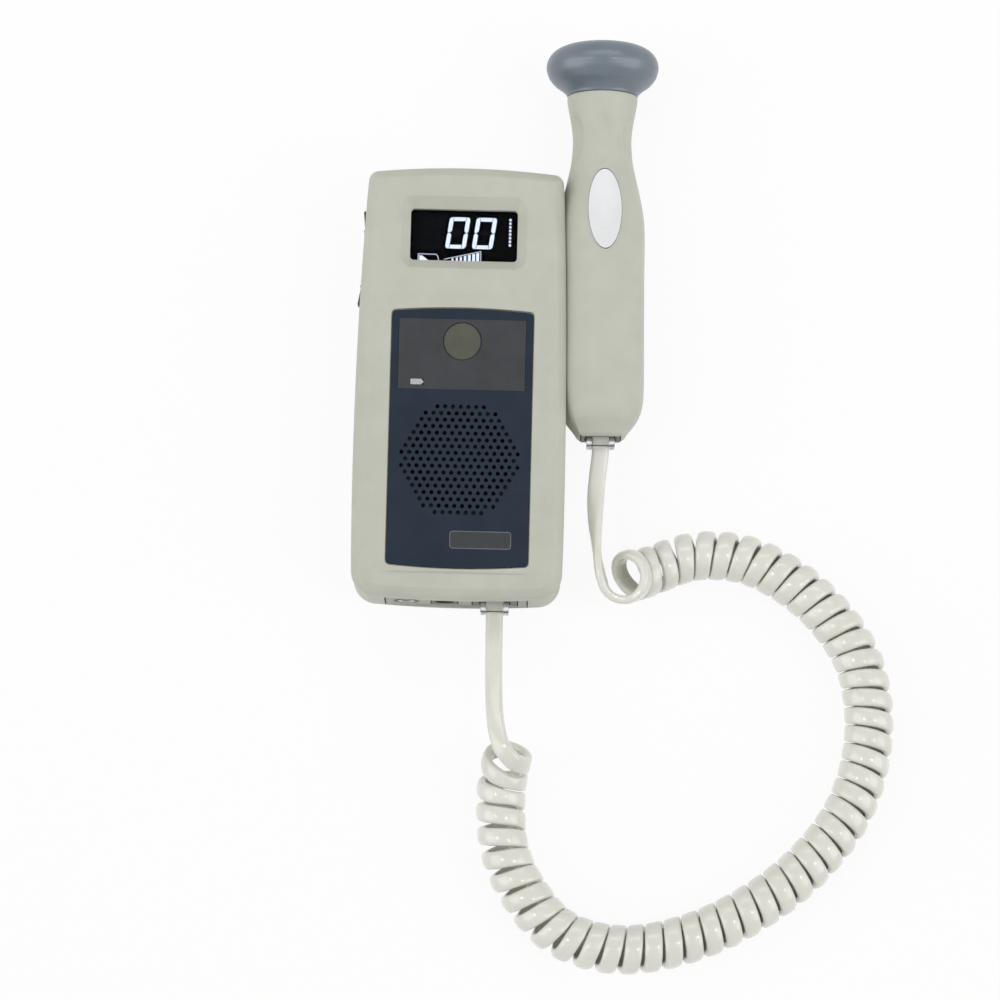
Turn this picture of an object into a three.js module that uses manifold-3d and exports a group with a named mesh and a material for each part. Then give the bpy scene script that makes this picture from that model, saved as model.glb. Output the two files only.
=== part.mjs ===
// Pocket fetal doppler monitor with a docked probe and a curly cord.
// Millimetres, +Z up. The monitor lies on its back, display up, with its top end towards +Y.
// The probe lies in the groove along the case's right flank, and the cord lies on the same surface.
import * as THREE from 'three';
import { mergeVertices } from 'three/addons/utils/BufferGeometryUtils.js';
import Module from 'manifold-3d';

const wasm = await Module();
wasm.setup();

// Clearances and shared allowances
const gap = 0.3;
const skinGap = 0.1;
const overrun = 1;
const weldShare = 1e-4;

// Case: outline seen from above, beside its length and width, which follow from what it holds
const sideRoom = 7.75;
const caseTaper = 6.2;
const widestShare = -0.18;
const topArch = 2;
const footArch = 1.7;
const topCornerRadius = 4.8;
const footCornerRadius = 8.5;
const leastCornerRadius = 0.8;

// Case: section, from the back up to the front face
const caseWall = 2.2;
const partingHeight = 14;
const draft = 0.5;
const faceBevelWidth = 3.5;
const faceBevelHeight = 4;
const backBevelWidth = 3.8;
const backBevelHeight = 5.5;
const bevelShares = [[0, 0], [0.13, 0.33], [0.43, 0.68], [1, 1]];

// Probe: a body of revolution along its own +Y, whose foot is squared off round its socket
const footTaperLength = 18.7;
const barrelLength = 55;
const neckLength = 31;
const collarLength = 15.7;
const footRadius = 7.8;
const handleRadius = 14.8;
const waistRadius = 10.1;
const collarRadius = 12.1;
const handleWall = 1.8;
const footSquareShare = 0.56;
const boreStartShare = 0.3;
const handleSides = 24;
const boreSides = 16;
const fluteCount = 6;
const fluteDepth = 0.9;
const fluteLength = 21;
const headRadius = 19.4;
const headFlareLength = 10.2;
const headCrownLength = 8;
const headWall = 3;
const headSides = 24;
const spigotLength = 5;
const spigotWall = 1.6;

// Probe outline: shares of each stretch's length, of its change of radius, and of its squareness
const footTaperShares = [
  [0, 0, 1], [0.09, 0.04, 0.8], [0.23, 0.2, 0.5], [0.39, 0.54, 0.2], [0.57, 0.79, 0.06],
  [0.78, 0.95], [1, 1],
];
const neckShares = [[0, 0], [0.19, 0.11], [0.39, 0.35], [0.63, 0.71], [0.77, 0.89], [1, 1]];
const collarShares = [[0.32, 0.2], [0.64, 0.63], [0.91, 1], [1, 1]];
const headFlareShares = [[0, 0], [0.11, 0.165], [0.31, 0.466], [0.56, 0.767], [0.8, 0.945], [1, 1]];
const headCrownShares = [[0.34, 0.026], [0.65, 0.119], [0.875, 0.289], [0.97, 0.5], [1, 1]];

// Dock: the groove that holds the handle against the case
const dockAngle = THREE.MathUtils.degToRad(0.9);
const dockClearance = 0.5;
const dockDepth = 3.95;
const dockFromEnd = 57.3;
const probeAxisHeight = headRadius + gap;

// Bare face above, between and below the display and the dish, and beside the dish
const faceMargin = { top: 10.95, middle: 9.35, foot: 8.5, side: 7.4 };

// Display: a sloped surround, a well and the window under it
const surround = { slopeX: 3.4, slopeY: 3.8, radius: 4.5, depth: 2.6 };
const displayOpening = { width: 37.1, height: 17.1, radius: 1.4 };
const wellDepth = 2;
const wellWall = 1.6;
const windowThickness = 1.5;
const windowLap = 1.4;
const displayModuleLap = 2;

// Front panel, with its dished seat, and the keypad label and model plate on it
const dish = { radius: 5.2, depth: 1, inset: 4.2 };
const dishLip = { top: 4.6, foot: 2.1, side: 4.9 };
const panel = { radius: 1.9, arch: 1, thickness: 0.9, sink: 0.2 };
const panelMargin = { top: 4.1, underLabel: 3.8, underGrille: 4.2, foot: 6.7, label: 2.4, grille: 3.8 };
const panelFloor = 1.8;
const label = { overKey: 0.95, underKey: 7.05, underLight: 1.6, thickness: 0.4 };
const plate = { width: 21.1, height: 6.2, fromSide: 5.75, radius: 1.2, thickness: 0.4 };

// Speaker grille: a triangular pattern clipped by a circle, and the speaker behind it
const grille = { pitch: 2.64, holeRadius: 0.7, sides: 6 };
const speakerDepth = 8;
const speakerRim = 2.4;
const speakerSheet = 0.9;
const magnetRadius = 9;
const magnetShare = 0.26;
const coneThickness = 0.5;
const coneShare = 0.62;
const capRadius = 5.5;
const capRise = 2;
const capShares = [[1, 0.25], [0.6, 0.75], [0, 1]];

// Power key, its switch, and the charge light
const powerKey = { radius: 6.3, dome: 0.7, sink: 0.3, stemRadius: 2 };
const keyFlange = { reach: 1.3, thickness: 0.9 };
const powerTravel = 0.8;
const keyDomeShares = [[1, -1], [0.93, -0.4], [0.6, 0.3], [0, 0.6]];
const tactSwitch = { width: 6, height: 3.8, plungerRadius: 1.6, plungerHeight: 0.8 };
const chargeLight = { width: 4.4, height: 2, fromSide: 6.5 };
const ledHeight = 1;

// Batteries, their contacts and the sliding door in the back
const cellRadius = 7.25;
const cellLength = 50.5;
const cellCount = 3;
const cellButtonRadius = 2.6;
const cellButtonHeight = 1;
const contactThickness = 0.6;
const contactBump = 0.8;
const bayWall = 1.5;
const bayToSockets = 5.4;
const doorSink = 0.3;
const doorThickness = 1.8;
const doorTongue = 1.5;
const doorTongueThickness = 0.7;
const doorFrame = 2;
const doorGrip = { width: 16, spacing: 2.4, depth: 0.5, count: 4, fromEnd: 6 };

// Main board
const boardThickness = 1.6;
const boardHalfWidth = 25;
const boardClearance = 0.7;
const boardToSockets = 2.6;
const boardToTop = 4;
const boardTab = { fromSide: 3.93, lap: 3 };

// Volume rocker on the left flank, its ears and its two switches
const rocker = { fromTop: 31.8, length: 33, height: 5, depth: 3.2, proud: 0.85, saddle: 0.5 };
const rockerPin = { radius: 0.9, length: 1 };
const rockerLift = 2;
const rockerSlotGap = 0.45;
const earThickness = 1.2;
const earWidth = 5;
const sideSwitch = {
  length: 6, depth: 3.5, fromEnd: 4.5, clearance: 0.9, plungerRadius: 1.2, plungerLength: 1,
};

// Bottom end: recessed panel with the probe, headphone and charger sockets
const endPanel = { fromSide: 12.2, fromFace: 7.8, thickness: 2.2, recess: 1.4 };
const endFlange = { reach: 1.5, thickness: 1.4 };
const socketLift = 9.2;
const probeSocket = { x: 13.2, wallX: 2.5, wallZ: 1.2, length: 15 };
const roundSocket = { radius: 4, boreRadius: 1.8, length: 12, x: -17, body: 9 };
const chargeSocket = { width: 9, height: 10, length: 13, wall: 2, boreRadius: 3.2, pinRadius: 1, x: -4 };

// Modular plug, the same at both ends of the cord
const plug = { width: 9.7, height: 6.6, length: 12.2, inserted: 8.2 };
const tongue = { width: 3.2, thickness: 0.9, drop: 2 };
const keyway = { width: 4, depth: 2.7 };
const probeEndSocket = { wallX: 1.55, wallZ: 0.9, length: 14 };

// Case screws
const screwPlace = { fromSide: 7.3, fromEnd: 10, wall: 1.1 };
const screw = { headRadius: 2.5, headHeight: 1.6, shankRadius: 1.25, length: 18, sink: 1.2, slot: 0.6 };
const slotLengthShare = 0.7;
const bossWall = 1.8;
const bossWeb = 2;
const bossSides = 12;

// Inside the probe
const crystal = { radius: 11.5, thickness: 0.8, split: 0.5 };
const backing = { margin: 0.5, thickness: 4 };
const probeBoard = { fromFoot: 7, fromWaist: 3, thickness: 1.2 };
const ovalLabel = { width: 11.4, height: 29.6, pastShoulder: 5.15, thickness: 0.3 };
const ovalLabelTurn = THREE.MathUtils.degToRad(4);

// Cord: a flat moulded cable, straight at both ends and curled between
const cordWidth = 5.8;
const cordThickness = 3;
const curlWidth = 5.7;
const curlClearance = 0.6;
const curlRadius = 6.95;
const curlCount = 49;
const curlSteps = 8;
const unitEndOpening = 0.14;
const unitEndShare = 0.25;
const probeEndOpening = 0.9;
const probeEndShare = 0.05;
const firstCurlAngle = THREE.MathUtils.degToRad(25);
const lastCurlAngle = THREE.MathUtils.degToRad(-150);
const leadSteps = 12;
const leadRun = 2.5;
const unitTurnShare = 0.3;
const probeTurnShare = 0.5;

// Route of the coil's middle line, from the monitor's end to the probe's end
const coilRoute = [
  [19.2, -125.2, 16.4], [17.9, -130.6, 12.4], [17.1, -136, 10.1], [16.9, -141.5, 9], [17.1, -147.5, 8.7],
  [18.6, -157.5, 8.6], [23.8, -169.5, 8.6], [36.8, -184.6, 8.6], [55, -190.6, 8.6], [76.9, -188, 8.6],
  [100.2, -177.6, 8.6], [121.4, -161, 8.6], [136.4, -139.8, 8.6], [142.1, -113.7, 8.6], [137.5, -88.5, 8.6],
  [121, -67.9, 8.6], [100.5, -56.2, 8.6], [85, -54.6, 8.8], [76.5, -56.4, 9.4], [68.5, -59.8, 10.8],
  [61.8, -62.8, 14.2], [58, -64.6, 19.3], [56.4, -65.4, 23.5],
];
// Middle points of the two leads, between their plugs and the coil
const unitLeadRoute = [[13.3, -95, 16.5], [14, -110, 19.5], [14.6, -120, 22.6], [15.6, -126.5, 23.4]];
const probeLeadRoute = [[46.2, -38, 20.5], [47.1, -47, 20.5], [48, -55.5, 20.2], [49.4, -62.5, 20]];

// Levels in the monitor, from its back up to its board
const doorInner = doorSink + doorThickness;
const frameFloor = doorInner + gap + doorFrame;
const cellHeight = doorInner + gap + cellRadius;
const boardBottom = cellHeight + cellRadius + boardClearance;
const boardFace = boardBottom + boardThickness;

// Levels from the speaker on the board up to the face, and down again into the display
const speakerTop = boardFace + gap + speakerDepth;
const pocketCeiling = speakerTop + gap;
const pocketFloor = pocketCeiling + panelFloor;
const panelBack = pocketFloor + gap;
const panelFace = panelBack + panel.thickness;
const dishFloor = panelFace + panel.sink;
const caseDepth = dishFloor + dish.depth;
const ceiling = caseDepth - caseWall;
const surroundFloor = caseDepth - surround.depth;
const wellFoot = surroundFloor - wellDepth;
const windowFace = wellFoot - gap;
const windowBack = windowFace - windowThickness;

// Widths: the door and its screws set the case's width, and the case sets its face's
const bayHalf = cellCount * cellRadius + gap + gap;
const doorHalf = bayHalf + gap + gap;
const footScrewX = doorHalf + doorTongue + screwPlace.wall + screw.headRadius + gap + gap;
const caseWidth = 2 * (footScrewX + sideRoom);
const caseTopWidth = caseWidth - caseTaper;
const surroundWidth = displayOpening.width + 2 * surround.slopeX;
const dishWidth = caseWidth - 2 * faceMargin.side;
const panelWidth = dishWidth - 2 * dishLip.side;
const labelWidth = panelWidth - 2 * panelMargin.label;
const plateX = (panelWidth - plate.width) / 2 - plate.fromSide;
const lightX = chargeLight.fromSide - labelWidth / 2;
const grilleRadius = panelWidth / 2 - panelMargin.grille;
const speakerRadius = grilleRadius - gap;

// Places along the face, from the case's top end to its foot
const surroundHeight = displayOpening.height + 2 * surround.slopeY;
const labelHeight = label.overKey + 2 * powerKey.radius + label.underKey + chargeLight.height
  + label.underLight;
const panelHeight = panelMargin.top + labelHeight + panelMargin.underLabel + 2 * grilleRadius
  + panelMargin.underGrille + plate.height + panelMargin.foot;
const dishHeight = dishLip.top + panelHeight + dishLip.foot;
const caseLength = faceMargin.top + surroundHeight + faceMargin.middle + dishHeight + faceMargin.foot;
const surroundY = (caseLength - surroundHeight) / 2 - faceMargin.top;
const dishTop = surroundY - surroundHeight / 2 - faceMargin.middle;
const dishMiddle = dishTop - dishHeight / 2;
const panelTop = dishTop - dishLip.top;
const panelMiddle = panelTop - panelHeight / 2;
const labelTop = panelTop - panelMargin.top;
const labelY = labelTop - labelHeight / 2;
const keyY = labelTop - label.overKey - powerKey.radius;
const lightY = labelTop - labelHeight + label.underLight + chargeLight.height / 2;
const grilleY = labelY - labelHeight / 2 - panelMargin.underLabel - grilleRadius;
const plateY = grilleY - grilleRadius - panelMargin.underGrille - plate.height / 2;
const rockerY = caseLength / 2 - rocker.fromTop;

// Bottom end, and what stands behind its sockets
const endOuter = endPanel.recess - caseLength / 2;
const endInner = endOuter + endPanel.thickness;
const endHalf = caseWidth / 2 - endPanel.fromSide;
const endFoot = frameFloor + gap + skinGap;
const endTop = caseDepth - endPanel.fromFace;
const socketZ = endFoot + socketLift;
const plugLift = (keyway.depth - gap) / 2;
const socketBack = endOuter + probeSocket.length;
const boardFoot = socketBack + boardToSockets;
const boardTop = caseLength / 2 - boardToTop;
const bayFoot = socketBack + bayToSockets + bayWall;
const cellFoot = bayFoot + contactThickness + contactBump + gap;
const cellTop = cellFoot + cellLength;
const bayTop = cellTop + cellButtonHeight + contactBump + contactThickness + gap;
const doorTop = bayTop + bayWall;

// Places along the probe
const dockAxisX = caseWidth / 2 + handleRadius + dockClearance - dockDepth;
const handleFoot = dockFromEnd - caseLength / 2;
const barrelFoot = handleFoot + footTaperLength;
const shoulderAt = barrelFoot + barrelLength;
const waistAt = shoulderAt + neckLength;
const handleTop = waistAt + collarLength;
const headSeat = handleTop + gap;
const headRimAt = headSeat + headFlareLength;
const headFaceAt = headRimAt + headCrownLength;
const backingRadius = crystal.radius + backing.margin;

// Geometry helpers
function toSolid(geometry) {
  const bare = new THREE.BufferGeometry();
  bare.setAttribute('position', geometry.getAttribute('position').clone());
  if (geometry.index) bare.setIndex(geometry.index.clone());
  const merged = mergeVertices(bare, weldShare * gap);
  const triangles = [];
  const index = merged.index.array;
  for (let i = 0; i < index.length; i += 3) {
    const [a, b, c] = [index[i], index[i + 1], index[i + 2]];
    if (a !== b && b !== c && c !== a) triangles.push(a, b, c);
  }
  return new wasm.Manifold(new wasm.Mesh({
    numProp: 3,
    vertProperties: new Float32Array(merged.getAttribute('position').array),
    triVerts: new Uint32Array(triangles),
  }));
}

function toGeometry(solid) {
  const mesh = solid.getMesh();
  const geometry = new THREE.BufferGeometry();
  geometry.setAttribute('position', new THREE.BufferAttribute(new Float32Array(mesh.vertProperties), 3));
  geometry.setIndex(new THREE.BufferAttribute(new Uint32Array(mesh.triVerts), 1));
  geometry.computeVertexNormals();
  return geometry;
}

function cut(solid, ...tools) {
  return tools.reduce((left, tool) => left.subtract(tool), solid);
}

function join(...solids) {
  return solids.reduce((whole, solid) => whole.add(solid));
}

function block(x0, x1, y0, y1, z0, z1) {
  const geometry = new THREE.BoxGeometry(x1 - x0, y1 - y0, z1 - z0);
  return toSolid(geometry.translate((x0 + x1) / 2, (y0 + y1) / 2, (z0 + z1) / 2));
}

function slab(shape, z0, z1, curveSegments = 4) {
  const options = { depth: z1 - z0, bevelEnabled: false, curveSegments };
  return toSolid(new THREE.ExtrudeGeometry(shape, options).translate(0, 0, z0));
}

function rod(radius, z0, z1, x, y, sides = 16) {
  const geometry = new THREE.CylinderGeometry(radius, radius, z1 - z0, sides).rotateX(Math.PI / 2);
  return toSolid(geometry.translate(x, y, (z0 + z1) / 2));
}

function rodAlongY(radius, y0, y1, x, z, sides = 16) {
  const geometry = new THREE.CylinderGeometry(radius, radius, y1 - y0, sides);
  return toSolid(geometry.translate(x, (y0 + y1) / 2, z));
}

function turned(profile, sides = 24) {
  return toSolid(new THREE.LatheGeometry(profile.map(([r, h]) => new THREE.Vector2(r, h)), sides));
}

function turnedUpright(profile, x, y, sides = 16) {
  const points = profile.map(([r, h]) => new THREE.Vector2(r, h));
  return toSolid(new THREE.LatheGeometry(points, sides).rotateX(Math.PI / 2).translate(x, y, 0));
}

function roundedRect(width, height, radius, x = 0, y = 0) {
  const [a, b] = [width / 2 - radius, height / 2 - radius];
  const shape = new THREE.Shape();
  shape.absarc(x + a, y - b, radius, -Math.PI / 2, 0);
  shape.absarc(x + a, y + b, radius, 0, Math.PI / 2);
  shape.absarc(x - a, y + b, radius, Math.PI / 2, Math.PI);
  shape.absarc(x - a, y - b, radius, Math.PI, 1.5 * Math.PI);
  return shape;
}

// A closed skin over rings of equal point counts, with flat ends
function skin(rings) {
  const count = rings[0].length;
  const vertices = rings.flat();
  const index = [];
  for (let ring = 0; ring + 1 < rings.length; ring += 1) {
    for (let i = 0; i < count; i += 1) {
      const [a, b] = [ring * count + i, ring * count + ((i + 1) % count)];
      index.push(a, b, b + count, a, b + count, a + count);
    }
  }
  const last = (rings.length - 1) * count;
  for (let i = 1; i + 1 < count; i += 1) {
    index.push(0, i + 1, i, last, last + i, last + i + 1);
  }
  let volume = 0;
  for (let i = 0; i < index.length; i += 3) {
    const [a, b, c] = [vertices[index[i]], vertices[index[i + 1]], vertices[index[i + 2]]];
    volume += a.dot(new THREE.Vector3().crossVectors(b, c));
  }
  if (volume < 0) index.reverse();
  const geometry = new THREE.BufferGeometry().setFromPoints(vertices);
  geometry.setIndex(index);
  return geometry;
}

// Materials
const warmGrey = { color: '#bdbfb2', roughness: 0.55, metalness: 0 };
const navy = { color: '#2b3442', roughness: 0.5, metalness: 0 };
const slate = { color: '#4b4b4a', roughness: 0.6, metalness: 0 };
const olive = { color: '#6f7264', roughness: 0.8, metalness: 0 };
const black = { color: '#17181a', roughness: 0.5, metalness: 0 };
const smokedWindow = { color: '#10191b', roughness: 0.1, metalness: 0 };
const blueGrey = { color: '#68747d', roughness: 0.4, metalness: 0 };
const ivory = { color: '#d3d3c8', roughness: 0.4, metalness: 0 };
const clear = { color: '#dfe4e6', roughness: 0.1, metalness: 0, transparent: true, opacity: 0.5 };
const white = { color: '#f2f2ef', roughness: 0.4, metalness: 0 };
const boardGreen = { color: '#2c6a45', roughness: 0.5, metalness: 0 };
const steel = { color: '#b8babc', roughness: 0.35, metalness: 1 };
const ceramic = { color: '#cbb68a', roughness: 0.6, metalness: 0 };
const cellWrap = { color: '#3c6d52', roughness: 0.4, metalness: 0 };

const monitor = new THREE.Group();
const probe = new THREE.Group();
const cord = new THREE.Group();

function place(group, name, shape, material) {
  const geometry = shape.isBufferGeometry ? shape : toGeometry(shape);
  const mesh = new THREE.Mesh(geometry, new THREE.MeshStandardMaterial(material));
  mesh.name = name;
  group.add(mesh);
  return mesh;
}

// Half of the case's width, and the heights of its two arched ends
function halfWidth(y) {
  const along = (y - widestShare * caseLength) / (caseLength / 2 - widestShare * caseLength);
  return (caseWidth - (caseWidth - caseTopWidth) * along * along) / 2;
}

function topEdge(x) {
  return caseLength / 2 - topArch * (2 * x / caseTopWidth) ** 2;
}

function footEdge(x) {
  return footArch * (2 * x / caseWidth) ** 2 - caseLength / 2;
}

// The case's outline, drawn in by an inset, with the same points whatever the inset
function caseRing(inset, z) {
  const cornerSteps = 4;
  const sideSteps = 4;
  const endSteps = 3;
  const topRadius = Math.max(topCornerRadius - inset, leastCornerRadius);
  const lowRadius = Math.max(footCornerRadius - inset, leastCornerRadius);
  const topX = halfWidth(caseLength / 2 - topCornerRadius) - inset - topRadius;
  const topY = topEdge(topX) - inset - topRadius;
  const lowX = halfWidth(footCornerRadius - caseLength / 2) - inset - lowRadius;
  const lowY = footEdge(lowX) + inset + lowRadius;
  const right = [];
  for (let i = 0; i <= cornerSteps; i += 1) {
    const angle = (i / cornerSteps - 1) * Math.PI / 2;
    right.push([lowX + lowRadius * Math.cos(angle), lowY + lowRadius * Math.sin(angle)]);
  }
  for (let i = 1; i < sideSteps; i += 1) {
    const y = THREE.MathUtils.lerp(lowY, topY, i / sideSteps);
    right.push([halfWidth(y) - inset, y]);
  }
  for (let i = 0; i <= cornerSteps; i += 1) {
    const angle = (i / cornerSteps) * Math.PI / 2;
    right.push([topX + topRadius * Math.cos(angle), topY + topRadius * Math.sin(angle)]);
  }
  for (let i = 1; i < endSteps; i += 1) {
    const x = topX * (1 - i / endSteps);
    right.push([x, topEdge(x) - inset]);
  }
  right.push([0, topEdge(0) - inset]);
  const left = right.slice(0, -1).reverse().map(([x, y]) => [-x, y]);
  const foot = [];
  for (let i = 1; i < 2 * endSteps; i += 1) {
    const x = lowX * (i / endSteps - 1);
    foot.push([x, footEdge(x) + inset]);
  }
  return [...right, ...left, ...foot].map(([x, y]) => new THREE.Vector3(x, y, z));
}

function frontOuter() {
  const bevelFoot = caseDepth - faceBevelHeight;
  const bevel = bevelShares.map(([across, up]) =>
    caseRing(across * faceBevelWidth, bevelFoot + up * faceBevelHeight));
  return toSolid(skin([caseRing(draft, partingHeight + gap), ...bevel]));
}

function backOuter() {
  const bevel = bevelShares.map(([across, up]) =>
    caseRing(draft + across * (backBevelWidth - draft), (1 - up) * backBevelHeight));
  return toSolid(skin([caseRing(draft, partingHeight), ...bevel]));
}

// The whole inside of the case, from above the back wall to below the front wall
function caseInner() {
  const shoulder = ceiling - faceBevelHeight;
  return toSolid(skin([
    caseRing(backBevelWidth + caseWall - draft, caseWall),
    caseRing(draft + caseWall, caseWall + backBevelHeight),
    caseRing(draft + caseWall, shoulder),
    caseRing(faceBevelWidth + caseWall, ceiling),
  ]));
}

// A rod along the docked probe's axis
function dockRod(radius) {
  const geometry = new THREE.CylinderGeometry(radius, radius, 2 * caseLength, 24);
  return toSolid(geometry.rotateZ(dockAngle).translate(dockAxisX, 0, probeAxisHeight));
}

// A tapered recess from a wide outline at its mouth to a narrow one at its floor
function taperedRecess(mouth, floor, mouthZ, floorZ) {
  const steps = 4;
  const ring = (outline, z) => outline.getPoints(steps).map((p) => new THREE.Vector3(p.x, p.y, z));
  const slope = overrun / (mouthZ - floorZ);
  const low = ring(floor, floorZ);
  const high = ring(mouth, mouthZ);
  const above = high.map((p, i) => p.clone().lerp(low[i], -slope));
  return toSolid(skin([dropRepeats(low), dropRepeats(above)]));
}

function dropRepeats(ring) {
  return ring.filter((p, i) => p.distanceTo(ring[(i + 1) % ring.length]) > weldShare * gap);
}

const screwY = caseLength / 2 - screwPlace.fromEnd;
const topScrewX = halfWidth(screwY) - screwPlace.fromSide;
const screwPlaces = [
  [topScrewX, screwY], [-topScrewX, screwY], [-footScrewX, -screwY], [footScrewX, -screwY],
];
const screwHeadTop = screw.sink + screw.headHeight;
const webTop = screwHeadTop + gap + bossWeb;

// The front panel's outline, with both its ends gently arched
function panelOutline(grow) {
  const [w, h] = [panelWidth / 2 + grow, panelHeight / 2 + grow];
  const side = h - panel.arch;
  const r = panel.radius;
  const shape = new THREE.Shape();
  shape.moveTo(w, panelMiddle - side + r);
  shape.lineTo(w, panelMiddle + side - r);
  shape.quadraticCurveTo(w, panelMiddle + side, w - r, panelMiddle + side);
  shape.quadraticCurveTo(0, panelMiddle + h + panel.arch, r - w, panelMiddle + side);
  shape.quadraticCurveTo(-w, panelMiddle + side, -w, panelMiddle + side - r);
  shape.lineTo(-w, panelMiddle - side + r);
  shape.quadraticCurveTo(-w, panelMiddle - side, r - w, panelMiddle - side);
  shape.quadraticCurveTo(0, panelMiddle - h - panel.arch, w - r, panelMiddle - side);
  shape.quadraticCurveTo(w, panelMiddle - side, w, panelMiddle - side + r);
  return shape;
}

function grilleHoles() {
  const holes = [];
  const rowStep = grille.pitch * Math.sqrt(3) / 2;
  const reach = Math.floor(grilleRadius / rowStep);
  for (let row = -reach; row <= reach; row += 1) {
    const shift = row % 2 === 0 ? 0 : 1 / 2;
    for (let place = -2 * reach; place <= 2 * reach; place += 1) {
      const [x, y] = [(place + shift) * grille.pitch, row * rowStep];
      if (Math.hypot(x, y) <= grilleRadius) holes.push([x, grilleY + y]);
    }
  }
  return holes;
}

// Rocker: where the left flank stands, and how it leans there
const rockerX = -halfWidth(rockerY);
const rockerLean = Math.atan2(
  halfWidth(rockerY + rocker.length / 2) - halfWidth(rockerY - rocker.length / 2), rocker.length);
const rockerFoot = boardFace + rockerLift;
const rockerTop = rockerFoot + rocker.height;
const rockerMiddle = (rockerFoot + rockerTop) / 2;
const pivotDepth = rocker.depth + gap;

function onRocker(geometry) {
  return geometry.rotateZ(rockerLean).translate(rockerX, rockerY, 0);
}

function blockGeometry(x0, x1, y0, y1, z0, z1) {
  return new THREE.BoxGeometry(x1 - x0, y1 - y0, z1 - z0)
    .translate((x0 + x1) / 2, (y0 + y1) / 2, (z0 + z1) / 2);
}

function rodGeometry(radius, z0, z1, x, y, sides) {
  return new THREE.CylinderGeometry(radius, radius, z1 - z0, sides)
    .rotateX(Math.PI / 2).translate(x, y, (z0 + z1) / 2);
}

function volumeRocker() {
  const half = rocker.length / 2;
  const shape = new THREE.Shape();
  shape.moveTo(rocker.depth, -half);
  shape.lineTo(-rocker.proud, -half);
  shape.quadraticCurveTo(rocker.proud + 2 * rocker.saddle, 0, -rocker.proud, half);
  shape.lineTo(rocker.depth, half);
  const options = { depth: rocker.height, bevelEnabled: false, curveSegments: 8 };
  const bar = new THREE.ExtrudeGeometry(shape, options);
  const hub = rodGeometry(2 * rockerPin.radius, rockerFoot, rockerTop, pivotDepth, 0, 12);
  const pin = rodGeometry(rockerPin.radius, rockerFoot - rockerPin.length - gap,
    rockerTop + rockerPin.length + gap, pivotDepth, 0, 12);
  return join(...[bar.translate(0, 0, rockerFoot), hub, pin].map((g) => toSolid(onRocker(g))));
}

function rockerEar(z0, z1) {
  const inner = pivotDepth + earWidth / 2;
  return toSolid(onRocker(blockGeometry(caseWall / 2, inner, -earWidth / 2, earWidth / 2, z0, z1)));
}

function rockerSlot() {
  const half = rocker.length / 2 + rockerSlotGap;
  const slot = blockGeometry(-overrun - rocker.proud, caseWall + overrun, -half, half,
    rockerFoot - gap, rockerTop + gap);
  return toSolid(onRocker(slot));
}

function rockerPinHole() {
  const reach = rockerPin.length + earThickness + overrun;
  return toSolid(onRocker(rodGeometry(rockerPin.radius + gap, rockerFoot - reach, rockerTop + reach,
    pivotDepth, 0, 12)));
}

// Bottom end
function endOpening() {
  return block(-endHalf - gap, endHalf + gap, -caseLength / 2 - overrun,
    endInner, endFoot - gap, endTop + gap);
}

// Room for the end panel's flange inside the case
function endFlangeRoom() {
  const reach = endFlange.reach + gap;
  return block(-endHalf - reach, endHalf + reach, endInner - gap,
    endInner + endFlange.thickness + gap, endFoot - reach, endTop + reach);
}

function frontShell() {
  const panelBacking = slab(panelOutline(caseWall), pocketCeiling, caseDepth - overrun);
  const surroundBacking = slab(roundedRect(surroundWidth + caseWall, surroundHeight + caseWall,
    surround.radius, 0, surroundY), surroundFloor - caseWall, caseDepth - overrun);
  const well = slab(roundedRect(displayOpening.width + 2 * wellWall, displayOpening.height + 2 * wellWall,
    displayOpening.radius + wellWall, 0, surroundY), wellFoot, surroundFloor);
  const hollow = cut(caseInner(), dockRod(handleRadius + dockClearance + caseWall),
    panelBacking, surroundBacking, well);
  const bosses = screwPlaces.map(([x, y]) =>
    rod(screw.shankRadius + bossWall, webTop + gap, ceiling + gap, x, y, bossSides));
  const ears = [rockerEar(rockerFoot - gap - earThickness, rockerFoot - gap),
    rockerEar(rockerTop + gap, rockerTop + gap + earThickness)];
  const bossRoom = screwPlaces.map(([x, y]) =>
    rod(screw.shankRadius, webTop, screw.sink + screw.length + gap, x, y, 8));
  const whole = join(cut(frontOuter(), hollow), ...ears, ...bosses);
  const dishRecess = taperedRecess(
    roundedRect(dishWidth, dishHeight, dish.radius, 0, dishMiddle),
    roundedRect(dishWidth - 2 * dish.inset, dishHeight - dish.inset, dish.radius - dish.depth,
      0, panelMiddle), caseDepth, dishFloor);
  const funnel = taperedRecess(
    roundedRect(surroundWidth, surroundHeight, surround.radius, 0, surroundY),
    roundedRect(displayOpening.width, displayOpening.height, displayOpening.radius, 0, surroundY),
    caseDepth, surroundFloor);
  const opening = slab(roundedRect(displayOpening.width, displayOpening.height, displayOpening.radius,
    0, surroundY), wellFoot - overrun, surroundFloor + gap);
  const pocket = slab(panelOutline(gap), pocketFloor, caseDepth);
  const sound = rod(grilleRadius + grille.holeRadius, pocketCeiling - overrun, pocketFloor + overrun,
    0, grilleY, 24);
  const keyHole = rod(powerKey.radius + gap, pocketCeiling - overrun, pocketFloor + overrun, 0, keyY);
  const lightHole = chargeBlock(pocketCeiling - overrun, pocketFloor + overrun, -gap);
  return cut(whole, dishRecess, funnel, opening, pocket, sound, keyHole, lightHole, ...bossRoom,
    rockerSlot(), rockerPinHole(), endOpening(), endFlangeRoom(),
    dockRod(handleRadius + dockClearance));
}

function spread(middle, half) {
  return [middle - half, middle + half];
}

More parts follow.
